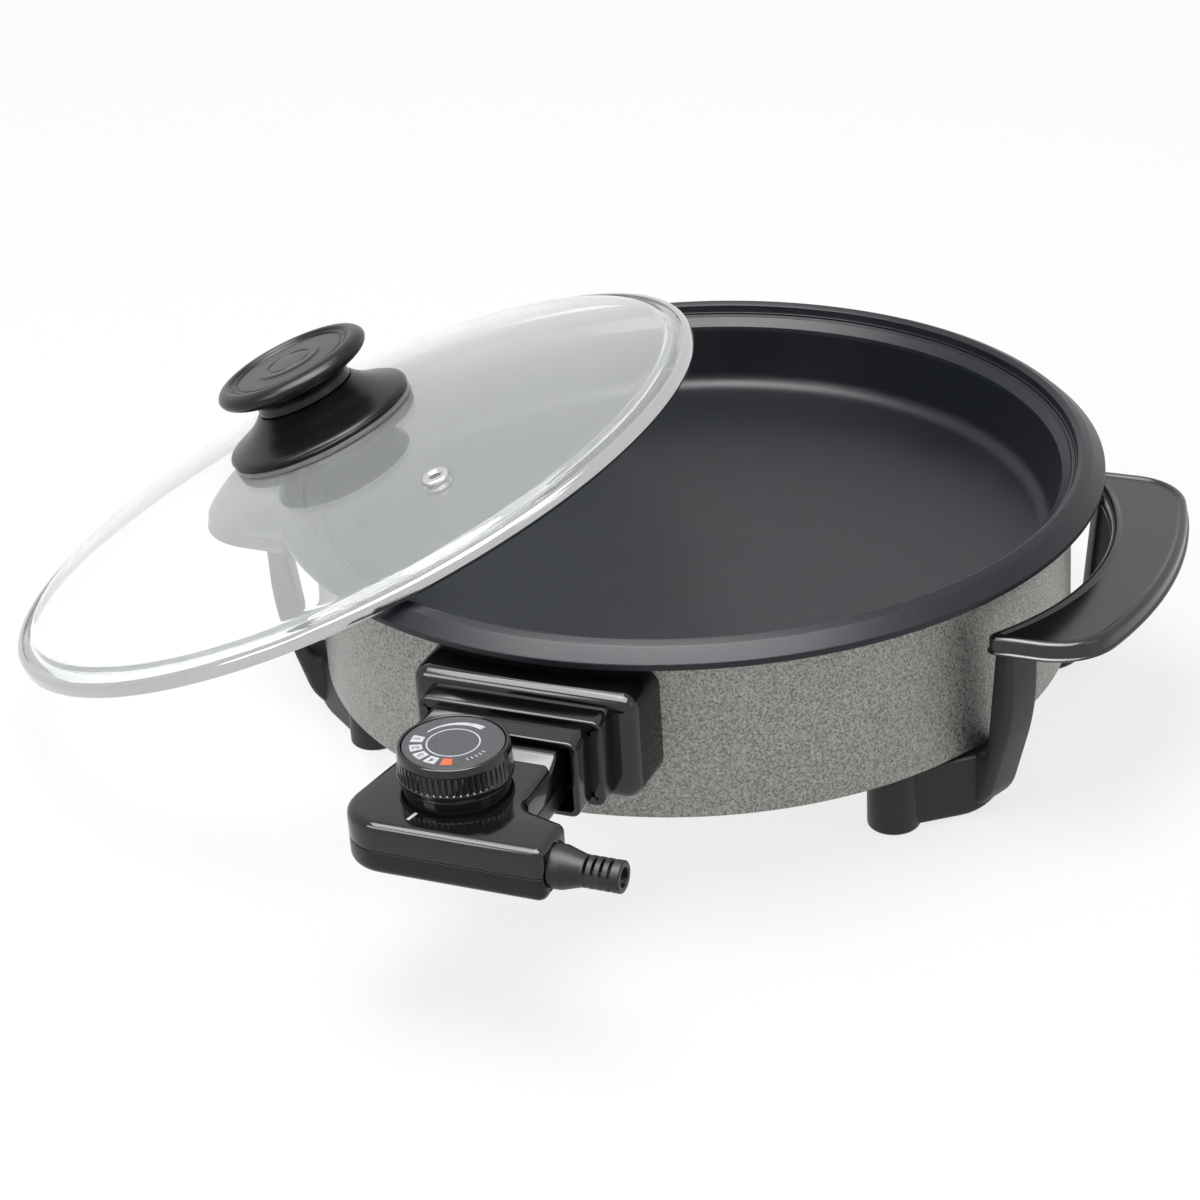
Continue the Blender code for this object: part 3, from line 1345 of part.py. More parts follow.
def lid_pose():
    """Return where the lid rests: leaning as given, at the height where it meets the pan's crest."""
    lean, toward = math.radians(LID_LEAN_DEG), math.radians(LID_LEAN_TOWARD_DEG)
    turn = Euler((0.0, lean, toward))
    axis = turn.to_matrix() @ Vector((0.0, 0.0, 1.0))
    height = CREST_HEIGHT
    angles = [math.tau * step / REST_STEPS for step in range(REST_STEPS)]
    crest = [
        Vector((CREST_RADIUS * math.cos(a), CREST_RADIUS * math.sin(a), CREST_HEIGHT)) for a in angles
    ]
    for _ in range(REST_ROUNDS):
        clearance = math.inf
        for point in crest:
            offset = point - Vector((LID_X, LID_Y, height))
            above = offset.dot(axis)
            radius = (offset - axis * above).length
            clearance = min(clearance, lid_underside(radius) - above)
        height += (GAP - clearance) / axis.z
    return Vector((LID_X, LID_Y, height)), turn


def make_lid_glass(lid):
    """Make the domed glass with its knob hole and vent hole."""
    outer, inner = glass_section()
    profile = outer + list(reversed(inner))
    glass = turned("lid_glass", profile, PAN_STEPS, ring=True)
    centre, turn = vent_place()
    axis = Euler(turn).to_matrix() @ Vector((0.0, 0.0, 1.0))
    reach = axis * (GLASS_THICKNESS + OVERRUN)
    carve(glass, rod("hole", VENT_BARREL_RADIUS + GAP, centre - reach, centre + reach))
    return finish(glass, "glass", lid, True)


def vent_place():
    """Return the vent's centre on the dome's outer face and its rotation, in the lid's frame."""
    x, y = polar(VENT_RADIUS, VENT_ANGLE_DEG)
    slope = math.asin(VENT_RADIUS / DOME_SPHERE_RADIUS)
    return Vector((x, y, dome_height(VENT_RADIUS))), (0.0, slope, math.radians(VENT_ANGLE_DEG))


def make_vent(lid):
    """Make the steel eyelet through the glass."""
    top = GAP
    bottom = -GLASS_THICKNESS * math.cos(math.asin(VENT_RADIUS / DOME_SPHERE_RADIUS)) - GAP
    profile = [
        (VENT_FLANGE_RADIUS - VENT_FLANGE / 2, top + VENT_FLANGE),
        (VENT_FLANGE_RADIUS, top + VENT_FLANGE / 2),
        (VENT_FLANGE_RADIUS, top),
        (VENT_BARREL_RADIUS, top),
        (VENT_BARREL_RADIUS, bottom),
        (VENT_FLANGE_RADIUS, bottom),
        (VENT_FLANGE_RADIUS - VENT_FLANGE / 2, bottom - VENT_FLANGE),
        (VENT_BORE_RADIUS, bottom - VENT_FLANGE),
        (VENT_BORE_RADIUS, top + VENT_FLANGE),
    ]
    centre, turn = vent_place()
    vent = turned("steam_vent", profile, SMALL_STEPS, centre, turn, ring=True)
    return finish(vent, "steel", lid, True)


def make_lid_rim(lid):
    """Make the rolled steel strip that wraps the glass's edge."""
    outer, _ = glass_section()
    shoulder_height = outer[-2][1]
    edge_height = outer[-1][1]
    lip = LID_RADIUS - RIM_LIP
    top_lip = LID_RADIUS - RIM_TOP_LIP
    wall = GLASS_EDGE_RADIUS + GAP
    slope = (shoulder_height - edge_height) / GLASS_SHOULDER
    lip_under = edge_height + (GLASS_EDGE_RADIUS - top_lip) * slope + GAP
    wall_top = edge_height + GAP
    profile = [
        (LID_RADIUS - RIM_CORNER, RIM_HEIGHT),
        (LID_RADIUS, RIM_HEIGHT - RIM_CORNER),
        (LID_RADIUS, RIM_CORNER),
        (LID_RADIUS - RIM_CORNER, 0.0),
        (lip, 0.0),
        (lip, RIM_STRIP),
        (wall, RIM_STRIP),
        (wall, wall_top),
        (top_lip, lip_under),
        (top_lip, lip_under + RIM_STRIP),
    ]
    return finish(turned("lid_rim", profile, PAN_STEPS, ring=True), "steel", lid, True)


def make_knob(lid):
    """Make the knob: gasket, bell-shaped base, grip, and the screw and washer under the glass."""
    seat = DOME_RISE + KNOB_BASE_SEAT
    seam = DOME_RISE + KNOB_SEAM
    edge = seat + KNOB_BASE_EDGE
    bell = [
        (
            KNOB_SEAM_RADIUS + across * (KNOB_BASE_RADIUS - KNOB_SEAM_RADIUS),
            edge + up * (seam - edge),
        )
        for across, up in reversed(BELL_SHARES)
    ]
    hub_foot = DOME_RISE + GAP
    roof = seam - KNOB_WALL * 2
    base = [
        (KNOB_SEAM_RADIUS, seam),
        *bell,
        (KNOB_BASE_RADIUS, edge),
        (KNOB_BASE_RADIUS, seat + KNOB_BASE_EDGE / 3),
        (KNOB_BASE_RADIUS - KNOB_BASE_EDGE / 3, seat),
        (GASKET_INNER_RADIUS, seat),
        (GASKET_INNER_RADIUS, edge),
        (KNOB_SEAM_RADIUS - KNOB_WALL, roof),
        (KNOB_HUB_RADIUS, roof),
        (KNOB_HUB_RADIUS, hub_foot),
        (KNOB_BORE_RADIUS, hub_foot),
        (KNOB_BORE_RADIUS, seam),
    ]
    finish(turned("knob_base", base, KNOB_STEPS, ring=True), "phenolic", lid, True)

    outer = KNOB_BASE_RADIUS - GASKET_INSET
    gasket = [
        (outer, seat - GAP),
        (outer, dome_height(outer) + GAP),
        (GASKET_INNER_RADIUS, dome_height(GASKET_INNER_RADIUS) + GAP),
        (GASKET_INNER_RADIUS, seat - GAP),
    ]
    finish(turned("knob_gasket", gasket, KNOB_STEPS, ring=True), "silicone", lid, True)

    top = DOME_RISE + KNOB_TOP
    foot = seam + GAP
    shape = [
        (share * KNOB_GRIP_RADIUS, top - depth * KNOB_GRIP_EDGE) for share, depth in GRIP_SHARES
    ]
    under_grip = top - KNOB_GRIP_EDGE
    bore_top = foot + KNOB_SCREW_REACH + GAP
    neck_middle = (foot + under_grip) / 2
    grip = [
        (0.0, shape[0][1]),
        *shape,
        (KNOB_SEAM_RADIUS, under_grip - KNOB_GRIP_EDGE / 4),
        (KNOB_NECK_RADIUS, neck_middle),
        (KNOB_SEAM_RADIUS - KNOB_WALL / 3, foot),
        (KNOB_BORE_RADIUS, foot),
        (KNOB_BORE_RADIUS, bore_top),
        (0.0, bore_top),
    ]
    finish(turned("knob_grip", grip, KNOB_STEPS), "phenolic", lid, True)

    glass_under = DOME_RISE - GLASS_THICKNESS
    washer_top = glass_under - GAP
    washer_bottom = washer_top - WASHER_THICKNESS
    washer = [
        (WASHER_RADIUS, washer_top),
        (WASHER_RADIUS, washer_bottom),
        (KNOB_SCREW_RADIUS + GAP, washer_bottom),
        (KNOB_SCREW_RADIUS + GAP, washer_top),
    ]
    finish(turned("knob_washer", washer, SMALL_STEPS, ring=True), "steel", lid, True)
    head_top = washer_bottom - GAP
    tip = foot + KNOB_SCREW_REACH
    screw = [
        (0.0, tip),
        (KNOB_SCREW_RADIUS, tip),
        (KNOB_SCREW_RADIUS, head_top),
        (KNOB_SCREW_HEAD_RADIUS, head_top),
        (KNOB_SCREW_HEAD_RADIUS, head_top - KNOB_SCREW_HEAD / 2),
        (KNOB_SCREW_HEAD_RADIUS - KNOB_SCREW_HEAD / 2, head_top - KNOB_SCREW_HEAD),
        (0.0, head_top - KNOB_SCREW_HEAD),
    ]
    finish(turned("knob_screw", screw, SMALL_STEPS), "steel", lid, True)


def main():
    """Build the whole part."""
    clear_scene()
    make_pan()
    make_jacket()
    make_base_plate()
    make_reflector()
    make_element()
    make_socket()
    make_handle("handle_right", 0.0)
    make_handle("handle_left", math.pi)
    make_base_screws()

    probe = empty("probe_unplug", (0.0, SHROUD_FRONT_Y, ROD_Z))
    make_case(probe)
    make_boot(probe)
    make_control_insides(probe)
    dial_axis = empty("dial_turn", (DIAL_X, DIAL_Y, DIAL_BOTTOM), parent=probe)
    make_dial(dial_axis)

    place_of_lid, turn_of_lid = lid_pose()
    lid = empty("lid_lift", place_of_lid, turn_of_lid)
    make_lid_glass(lid)
    make_lid_rim(lid)
    make_vent(lid)
    make_knob(lid)


main()
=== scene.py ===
"""Studio scene of an electric pizza pan with a lift-off glass lid and a plug-in heat control.

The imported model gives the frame: metres, +Z up, z = 0 at the cooking surface and the pan's axis on
Z.  Each sub-assembly below builds its fine surfaces in that frame, dresses them, and stands them in
for the plain solids.
"""

from __future__ import annotations

import logging
import math
from dataclasses import dataclass
from enum import Enum
from typing import Any, Callable, Iterable, Mapping, Sequence

import bmesh
import bpy
from mathutils import Euler, Matrix, Vector

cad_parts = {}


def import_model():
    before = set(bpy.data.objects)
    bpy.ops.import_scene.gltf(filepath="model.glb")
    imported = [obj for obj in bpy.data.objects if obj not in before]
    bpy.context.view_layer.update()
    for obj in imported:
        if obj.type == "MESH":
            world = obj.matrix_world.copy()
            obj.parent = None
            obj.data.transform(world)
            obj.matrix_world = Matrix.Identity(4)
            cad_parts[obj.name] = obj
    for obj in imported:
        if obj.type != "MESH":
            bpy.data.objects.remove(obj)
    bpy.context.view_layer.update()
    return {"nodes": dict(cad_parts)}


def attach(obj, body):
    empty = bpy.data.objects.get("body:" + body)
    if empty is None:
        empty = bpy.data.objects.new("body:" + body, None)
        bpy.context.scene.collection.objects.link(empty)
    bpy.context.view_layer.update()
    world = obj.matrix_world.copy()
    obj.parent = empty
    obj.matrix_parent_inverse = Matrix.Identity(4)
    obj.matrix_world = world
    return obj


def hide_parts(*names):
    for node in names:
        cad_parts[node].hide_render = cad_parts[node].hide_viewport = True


LOG = logging.getLogger("pizza_pan")

Point = tuple[float, float]
Colour = tuple[float, float, float]
Lift = Callable[[float, float, float], Vector]

ROUND_STEPS = 192
SMALL_STEPS = 64
FILLET_STEPS = 6
SHARP_DEG = 38.0
INK_SHARP_DEG = 30.0
FIT = 0.0003

# A corner's rounding in plan, as a share of the rounding of the edges that meet there
CORNER_SHARE = 1.12


class Body(Enum):
    """The rigid bodies of the frame."""

    BASE = "base"
    CONTROL = "control"
    DIAL = "dial_knob"
    LID = "lid"


class Slot(Enum):
    """The record's material slots."""

    NONSTICK = "nonstick"
    HAMMERTONE = "hammertone"
    STEEL = "steel"
    ALUMINIUM = "aluminium"
    PHENOLIC = "phenolic"
    SHEATH = "sheath"
    CERAMIC = "ceramic"
    BRASS = "brass"
    RUBBER = "rubber"
    GLASS = "glass"
    SILICONE = "silicone"
    PRINT = "print"


class Side(Enum):
    """The side of the pan that a handle is on, as its turn about the pan's axis."""

    RIGHT = 0.0
    LEFT = math.pi


# Shader maths


class Value:
    """A number that changes over a surface, read from a node's output socket."""

    def __init__(self, graph: Graph, socket: bpy.types.NodeSocket) -> None:
        """Wrap a socket.

        Args:
            graph: The node tree that the socket is in.
            socket: The output socket.
        """
        self.graph = graph
        self.socket = socket

    def _maths(self, operation: str, *terms: Value | float) -> Value:
        """Add a Math node on some terms and return its result."""
        node = self.graph.node(
            "ShaderNodeMath", {"operation": operation}, dict(enumerate(terms))
        )
        return Value(self.graph, node.outputs[0])

    def __add__(self, other: Value | float) -> Value:
        """Return the sum."""
        return self._maths("ADD", self, other)

    def __mul__(self, other: Value | float) -> Value:
        """Return the product."""
        return self._maths("MULTIPLY", self, other)

    __radd__ = __add__
    __rmul__ = __mul__

    def larger(self, other: Value | float) -> Value:
        """Return the larger of two values."""
        return self._maths("MAXIMUM", self, other)

    def between(self, low: float, high: float, start: float = 0.0, end: float = 1.0) -> Value:
        """Return a smooth step of this value.

        Args:
            low: Where the step starts.
            high: Where the step ends.
            start: The result below low.
            end: The result above high.

        Returns:
            The stepped value.
        """
        node = self.graph.node(
            "ShaderNodeMapRange",
            {"interpolation_type": "SMOOTHSTEP"},
            {"Value": self, "From Min": low, "From Max": high, "To Min": start, "To Max": end},
        )
        return Value(self.graph, node.outputs["Result"])


class Graph:
    """The node tree of a material or of the world."""

    def __init__(self, tree: bpy.types.NodeTree) -> None:
        """Take a tree and clear it.

        Args:
            tree: The node tree.
        """
        self.tree = tree
        self.tree.nodes.clear()

    def node(
        self,
        kind: str,
        settings: Mapping[str, Any] | None = None,
        inputs: Mapping[str | int, Any] | None = None,
    ) -> bpy.types.Node:
        """Add a node.

        Args:
            kind: The node's type.
            settings: Properties that are set first.
            inputs: A value or a link for each named or numbered socket.

        Returns:
            The new node.
        """
        made = self.tree.nodes.new(kind)
        for name, setting in (settings or {}).items():
            setattr(made, name, setting)
        for name, given in (inputs or {}).items():
            self.feed(made.inputs[name], given)
        return made

    def feed(self, socket: bpy.types.NodeSocket, given: Any) -> None:
        """Set an input socket to a number, a colour or a link.

        Args:
            socket: The input socket.
            given: A number, a colour, a Value or an output socket.
        """
        if isinstance(given, Value):
            given = given.socket
        if isinstance(given, bpy.types.NodeSocket):
            self.tree.links.new(given, socket)
        elif isinstance(given, tuple) and socket.type == "RGBA":
            socket.default_value = (*given, 1.0)
        else:
            socket.default_value = given

    def place(self) -> bpy.types.NodeSocket:
        """Return the place on the object, in metres."""
        return self.node("ShaderNodeTexCoord").outputs["Object"]

    def stretched(self, factors: tuple[float, float, float]) -> bpy.types.NodeSocket:
        """Return the place on the object, scaled along each axis."""
        node = self.node("ShaderNodeVectorMath", {"operation": "MULTIPLY"}, {0: self.place(), 1: factors})
        return node.outputs[0]

    def radius(self) -> Value:
        """Return the distance from the object's own Z axis, in metres."""
        flat = self.stretched((1.0, 1.0, 0.0))
        node = self.node("ShaderNodeVectorMath", {"operation": "LENGTH"}, {0: flat})
        return Value(self, node.outputs["Value"])

    def noise(
        self,
        scale: float,
        detail: float = 2.0,
        roughness: float = 0.5,
        where: bpy.types.NodeSocket | None = None,
    ) -> Value:
        """Return cloudy noise.

        Args:
            scale: Features to a metre.
            detail: Octaves.
            roughness: Weight of the finer octaves.
            where: The place that is read, or the object's own.

        Returns:
            The noise, about a half.
        """
        node = self.node(
            "ShaderNodeTexNoise",
            None,
            {
                "Vector": where or self.place(),
                "Scale": scale,
                "Detail": detail,
                "Roughness": roughness,
            },
        )
        return Value(self, node.outputs["Fac"])

    def blend(self, first: Any, second: Any, share: Value | float) -> bpy.types.NodeSocket:
        """Mix two colours.

        Args:
            first: The colour at share 0.
            second: The colour at share 1.
            share: How much of the second.

        Returns:
            The mixed colour's socket.
        """
        node = self.node("ShaderNodeMix", {"data_type": "RGBA"}, {0: share, 6: first, 7: second})
        return node.outputs[2]

    def relief(self, height: Value, depth: float, strength: float = 1.0) -> bpy.types.NodeSocket:
        """Return the normal of a bumped surface.

        Args:
            height: The height, from 0 to 1.
            depth: What a height of 1 stands for, in metres.
            strength: Share of the bump.

        Returns:
            The normal's socket.
        """
        node = self.node(
            "ShaderNodeBump", None, {"Height": height, "Distance": depth, "Strength": strength}
        )
        return node.outputs["Normal"]

    def coat_surface(self, inputs: Mapping[str | int, Any]) -> bpy.types.Node:
        """Add a Principled shader and the material's output.

        Args:
            inputs: A value or a link for each named socket.

        Returns:
            The shader's node.
        """
        shader = self.node("ShaderNodeBsdfPrincipled", None, inputs)
        self.node("ShaderNodeOutputMaterial", None, {"Surface": shader.outputs[0]})
        return shader


# Finishes


@dataclass(frozen=True)
class Finish:
    """A surface finish that becomes one material."""

    title: str

    def material(self) -> bpy.types.Material:
        """Return the finish's material, made on first use."""
        found = bpy.data.materials.get(self.title)
        if found:
            return found
        made = bpy.data.materials.new(self.title)
        made.use_nodes = True
        self.paint(Graph(made.node_tree))
        return made

    def paint(self, graph: Graph) -> None:
        """Add the finish's nodes to an empty tree."""
        raise NotImplementedError


@dataclass(frozen=True)
class NonstickCoating(Finish):
    """Dark sprayed coating on cast aluminium, with a fine grain and pale flecks."""

    dark: Colour = (0.0045, 0.006, 0.009)
    pale: Colour = (0.040, 0.047, 0.062)
    roughness: float = 0.36

    def paint(self, graph: Graph) -> None:
        """Add the coating's nodes."""
        grain = graph.noise(1500.0, 3.0, 0.7)
        flecks = graph.noise(2600.0, 1.0).between(0.60, 0.74)
        clouds = graph.noise(35.0, 3.0)
        colour = graph.blend(self.dark, self.pale, flecks * 0.5 + clouds * 0.12)
        graph.coat_surface(
            {
                "Base Color": colour,
                "Roughness": clouds * 0.12 + (self.roughness - 0.06),
                "Specular IOR Level": 0.3,
                "Normal": graph.relief(grain, 0.0001, 0.45),
            }
        )


@dataclass(frozen=True)
class HammertoneLacquer(Finish):
    """Grey lacquer that has drawn up into small pits and ridges."""

    dark: Colour = (0.095, 0.093, 0.085)
    light: Colour = (0.38, 0.373, 0.348)

    def paint(self, graph: Graph) -> None:
        """Add the lacquer's nodes."""
        wander = graph.noise(950.0, 3.0, 0.62)
        fine = graph.noise(2100.0, 2.0, 0.6)
        ridges = (wander * 0.55 + fine * 0.45).between(0.36, 0.64)
        clouds = graph.noise(14.0, 2.0)
        shade = graph.blend(self.dark, self.light, ridges)
        graph.coat_surface(
            {
                "Base Color": graph.blend(shade, self.light, clouds * 0.18),
                "Metallic": 0.8,
                "Roughness": ridges * 0.16 + 0.24,
                "Normal": graph.relief(ridges, 0.00014, 0.65),
            }
        )


@dataclass(frozen=True)
class Phenolic(Finish):
    """Black moulded phenolic, polished or as it leaves the tool."""

    shade: Colour = (0.004, 0.004, 0.0046)
    dust: Colour = (0.014, 0.014, 0.016)
    roughness: float = 0.16
    grain: float = 0.25
    specular: float = 0.35

    def paint(self, graph: Graph) -> None:
        """Add the moulding's nodes."""
        waves = graph.noise(60.0, 2.0)
        speck = graph.noise(1900.0, 2.0, 0.6)
        smears = graph.noise(22.0, 4.0, 0.65, graph.stretched((1.0, 1.6, 0.7)))
        graph.coat_surface(
            {
                "Base Color": graph.blend(self.shade, self.dust, smears.between(0.45, 0.8) * 0.35),
                "Roughness": speck * 0.06 + smears * 0.08 + (self.roughness - 0.07),
                "Specular IOR Level": self.specular,
                "Normal": graph.relief(waves * 0.7 + speck * 0.3, 0.00008, self.grain),
            }
        )


@dataclass(frozen=True)
class Steel(Finish):
    """Bright or brushed stainless steel."""

    shade: Colour = (0.66, 0.66, 0.65)
    roughness: float = 0.12
    brushed: tuple[float, float, float] = (1.0, 1.0, 1.0)
    brush_scale: float = 900.0

    def paint(self, graph: Graph) -> None:
        """Add the steel's nodes."""
        lines = graph.noise(self.brush_scale, 3.0, 0.6, graph.stretched(self.brushed))
        clouds = graph.noise(30.0, 3.0)
        darker = (self.shade[0] * 0.8, self.shade[1] * 0.8, self.shade[2] * 0.8)
        graph.coat_surface(
            {
                "Base Color": graph.blend(darker, self.shade, clouds * 0.5 + lines * 0.5),
                "Metallic": 1.0,
                "Roughness": lines * 0.1 + (self.roughness - 0.04),
                "Normal": graph.relief(lines, 0.00003, 0.3),
            }
        )


@dataclass(frozen=True)
class TemperedGlass(Finish):
    """Clear domed glass that carries a faint milky veil."""

    veil: float = 0.12

    def paint(self, graph: Graph) -> None:
        """Add the glass's nodes."""
        smears = graph.noise(16.0, 3.0, 0.6)
        graph.coat_surface(
            {
                "Base Color": graph.blend((0.96, 0.975, 0.975), (0.90, 0.925, 0.93), smears),
                "Roughness": smears.between(0.4, 0.8) * 0.03,
                "IOR": 1.45,
                "Transmission Weight": 1.0 - self.veil,
                "Specular IOR Level": 0.38,
            }
        )


@dataclass(frozen=True)
class Silicone(Finish):
    """Milky silicone ring."""

    shade: Colour = (0.30, 0.31, 0.32)

    def paint(self, graph: Graph) -> None:
        """Add the silicone's nodes."""
        clouds = graph.noise(120.0, 2.0)
        graph.coat_surface(
            {
                "Base Color": graph.blend(self.shade, (0.42, 0.43, 0.44), clouds),
                "Roughness": clouds * 0.1 + 0.2,
                "Transmission Weight": 0.6,
                "IOR": 1.41,
                "Normal": graph.relief(clouds, 0.0001, 0.2),
            }
        )


@dataclass(frozen=True)
class Rubber(Finish):
    """Satin black rubber."""

    shade: Colour = (0.011, 0.011, 0.0125)

    def paint(self, graph: Graph) -> None:
        """Add the rubber's nodes."""
        speck = graph.noise(1400.0, 3.0, 0.65)
        clouds = graph.noise(90.0, 3.0)
        graph.coat_surface(
            {
                "Base Color": graph.blend(self.shade, (0.035, 0.035, 0.038), clouds.between(0.4, 0.8) * 0.5),
                "Roughness": speck * 0.12 + 0.34,
                "Specular IOR Level": 0.32,
                "Normal": graph.relief(speck, 0.00006, 0.5),
            }
        )


@dataclass(frozen=True)
class Print(Finish):
    """Screen-printed ink or the printed disc under it."""

    ink: Colour = (0.05, 0.05, 0.054)
    worn: Colour = (0.07, 0.07, 0.075)
    roughness: float = 0.34

    def paint(self, graph: Graph) -> None:
        """Add the print's nodes."""
        wear = graph.noise(500.0, 4.0, 0.7)
        graph.coat_surface(
            {
                "Base Color": graph.blend(self.ink, self.worn, wear.between(0.45, 0.75)),
                "Roughness": wear * 0.1 + (self.roughness - 0.05),
                "Normal": graph.relief(wear, 0.00002, 0.3),
            }
        )


@dataclass(frozen=True)
class Ceramic(Finish):
    """Unglazed off-white ceramic."""

    def paint(self, graph: Graph) -> None:
        """Add the ceramic's nodes."""
        grain = graph.noise(1200.0, 3.0, 0.7)
        graph.coat_surface(
            {
                "Base Color": graph.blend((0.72, 0.68, 0.60), (0.84, 0.81, 0.74), grain),
                "Roughness": grain * 0.15 + 0.5,
                "Normal": graph.relief(grain, 0.00008, 0.6),
            }
        )


GLOSSY = Phenolic("phenolic_glossy", roughness=0.1, grain=0.12, specular=0.5)
GRIP_BLACK = Phenolic("phenolic_grip", roughness=0.2, grain=0.3, specular=0.6)
SATIN = Phenolic("phenolic_satin", dust=(0.02, 0.0195, 0.018), roughness=0.28, grain=0.4, specular=0.3)
MATTE = Phenolic(
    "phenolic_matte", shade=(0.012, 0.012, 0.013), dust=(0.03, 0.03, 0.032), roughness=0.44, grain=0.6
)
KNOB_BLACK = Phenolic("phenolic_knob", roughness=0.29, grain=0.35, specular=0.3)
POLISHED = Steel("steel_polished", shade=(0.56, 0.565, 0.57), roughness=0.07)
BRUSHED = Steel("steel_brushed", roughness=0.3, brushed=(0.08, 1.6, 1.0))
SCREW_STEEL = Steel("steel_screw", roughness=0.24)
RODS = Steel("steel_rod", roughness=0.2, brushed=(1.0, 0.1, 1.0))
ALUMINIUM = Steel("aluminium_mill", shade=(0.76, 0.77, 0.78), roughness=0.34, brushed=(0.1, 1.5, 1.0))
SHEATH = Steel("sheath_oxide", shade=(0.15, 0.16, 0.15), roughness=0.5)
BRASS = Steel("brass_plain", shade=(0.72, 0.51, 0.22), roughness=0.26)
COATING = NonstickCoating("nonstick_coating")
LACQUER = HammertoneLacquer("hammertone_lacquer")
GLASS = TemperedGlass("tempered_glass")
GASKET = Silicone("silicone_gasket")
BOOT_RUBBER = Rubber("boot_rubber")
CERAMIC = Ceramic("ceramic_bush")
DISC_INK = Print("ink_disc", ink=(0.06, 0.064, 0.07), worn=(0.085, 0.088, 0.095))
WHITE_INK = Print("ink_white", ink=(0.62, 0.63, 0.66), worn=(0.42, 0.43, 0.46))
BLACK_INK = Print("ink_black", ink=(0.02, 0.02, 0.022), worn=(0.05, 0.05, 0.05))
ORANGE_INK = Print("ink_orange", ink=(0.86, 0.13, 0.02), worn=(0.75, 0.16, 0.05))


# Outlines


def arc(centre: Point, radius: float, start: float, end: float, steps: int) -> list[Point]:
    """Return points on an arc.

    Args:
        centre: The arc's centre.
        radius: Its radius.
        start: Its first angle, in radians.
        end: Its last angle, in radians.
        steps: How many steps it takes.

    Returns:
        One point more than there are steps.
    """
    turns = [start + (end - start) * step / steps for step in range(steps + 1)]
    return [(centre[0] + radius * math.cos(t), centre[1] + radius * math.sin(t)) for t in turns]


def eased(
    points: Sequence[tuple[float, float, float]], closed: bool, steps: int = FILLET_STEPS
) -> list[Point]:
    """Return a line through corners, with an arc at each corner that has a radius.

    Args:
        points: Corners as x, y and radius.
        closed: Whether the last corner joins the first.
        steps: Steps in each arc.

    Returns:
        The line's points.
    """
    line: list[Point] = []
    for index, (x, y, radius) in enumerate(points):
        is_end = not closed and index in (0, len(points) - 1)
        if radius <= 0.0 or is_end:
            line.append((x, y))
            continue
        here = Vector((x, y))
        back = (Vector(points[index - 1][:2]) - here).normalized()
        ahead = (Vector(points[(index + 1) % len(points)][:2]) - here).normalized()
        half = back.angle(ahead) / 2
        centre = here + (back + ahead).normalized() * (radius / math.sin(half))
        start = here + back * (radius / math.tan(half)) - centre
        end = here + ahead * (radius / math.tan(half)) - centre
        sweep = start.angle_signed(end)
        for step in range(steps + 1):
            spoke = start.copy()
            spoke.rotate(Matrix.Rotation(-sweep * step / steps, 2))
            line.append(tuple(centre + spoke))
    return line


def flowing(points: Sequence[Point], steps: int) -> list[Point]:
    """Return a smooth curve through points.

    Args:
        points: The points, in order.
        steps: Steps between each two.

    Returns:
        The curve's points.
    """
    spots = [Vector(point) for point in points]
    spots = [spots[0] * 2 - spots[1], *spots, spots[-1] * 2 - spots[-2]]
    line: list[Point] = []
    for p0, p1, p2, p3 in zip(spots, spots[1:], spots[2:], spots[3:]):
        for step in range(steps):
            t = step / steps
            bent = p1 * 2 + (p2 - p0) * t
            bent += (p0 * 2 - p1 * 5 + p2 * 4 - p3) * t * t
            bent += (p1 * 3 - p0 - p2 * 3 + p3) * t * t * t
            line.append(tuple(bent / 2))
    line.append(tuple(points[-1]))
    return line


def drawn_in(outline: Sequence[Point], distance: float) -> list[Point]:
    """Return a closed anticlockwise outline moved inward.

    Args:
        outline: The outline's points.
        distance: How far each side moves.

    Returns:
        As many points, in the same order.
    """
    moved: list[Point] = []
    count = len(outline)
    for index, (x, y) in enumerate(outline):
        back = Vector((x, y)) - Vector(outline[index - 1])
        ahead = Vector(outline[(index + 1) % count]) - Vector((x, y))
        first = Vector((-back.y, back.x)).normalized()
        second = Vector((-ahead.y, ahead.x)).normalized()
        miter = first + second
        miter = miter * (2.0 / max(miter.length_squared, 0.5))
        moved.append((x + miter.x * distance, y + miter.y * distance))
    return moved


# Meshes


def new_object(name: str, mesh: bpy.types.Mesh) -> bpy.types.Object:
    """Return a new object for a mesh, linked to the scene."""
    thing = bpy.data.objects.new(name, mesh)
    bpy.context.scene.collection.objects.link(thing)
    return thing


def shade(mesh: bpy.types.Mesh, sharp: float) -> None:
    """Shade a mesh smooth, but for its flats and its sharp edges.

    Args:
        mesh: The mesh.
        sharp: Edges over this angle, in degrees, stay sharp.
    """
    mesh.shade_smooth()
    for polygon in mesh.polygons:
        polygon.use_smooth = polygon.loop_total <= 4
    mesh.set_sharp_from_angle(angle=math.radians(sharp))


def from_bmesh(name: str, shape: bmesh.types.BMesh, sharp: float = SHARP_DEG) -> bpy.types.Object:
    """Turn a bmesh into a smooth-shaded object with outward faces.

    Args:
        name: The object's name.
        shape: The bmesh, which is freed.
        sharp: Edges over this angle, in degrees, stay sharp.

    Returns:
        The new object.
    """
    bmesh.ops.remove_doubles(shape, verts=shape.verts, dist=1e-7)
    bmesh.ops.recalc_face_normals(shape, faces=shape.faces)
    mesh = bpy.data.meshes.new(name)
    shape.to_mesh(mesh)
    shape.free()
    shade(mesh, sharp)
    return new_object(name, mesh)


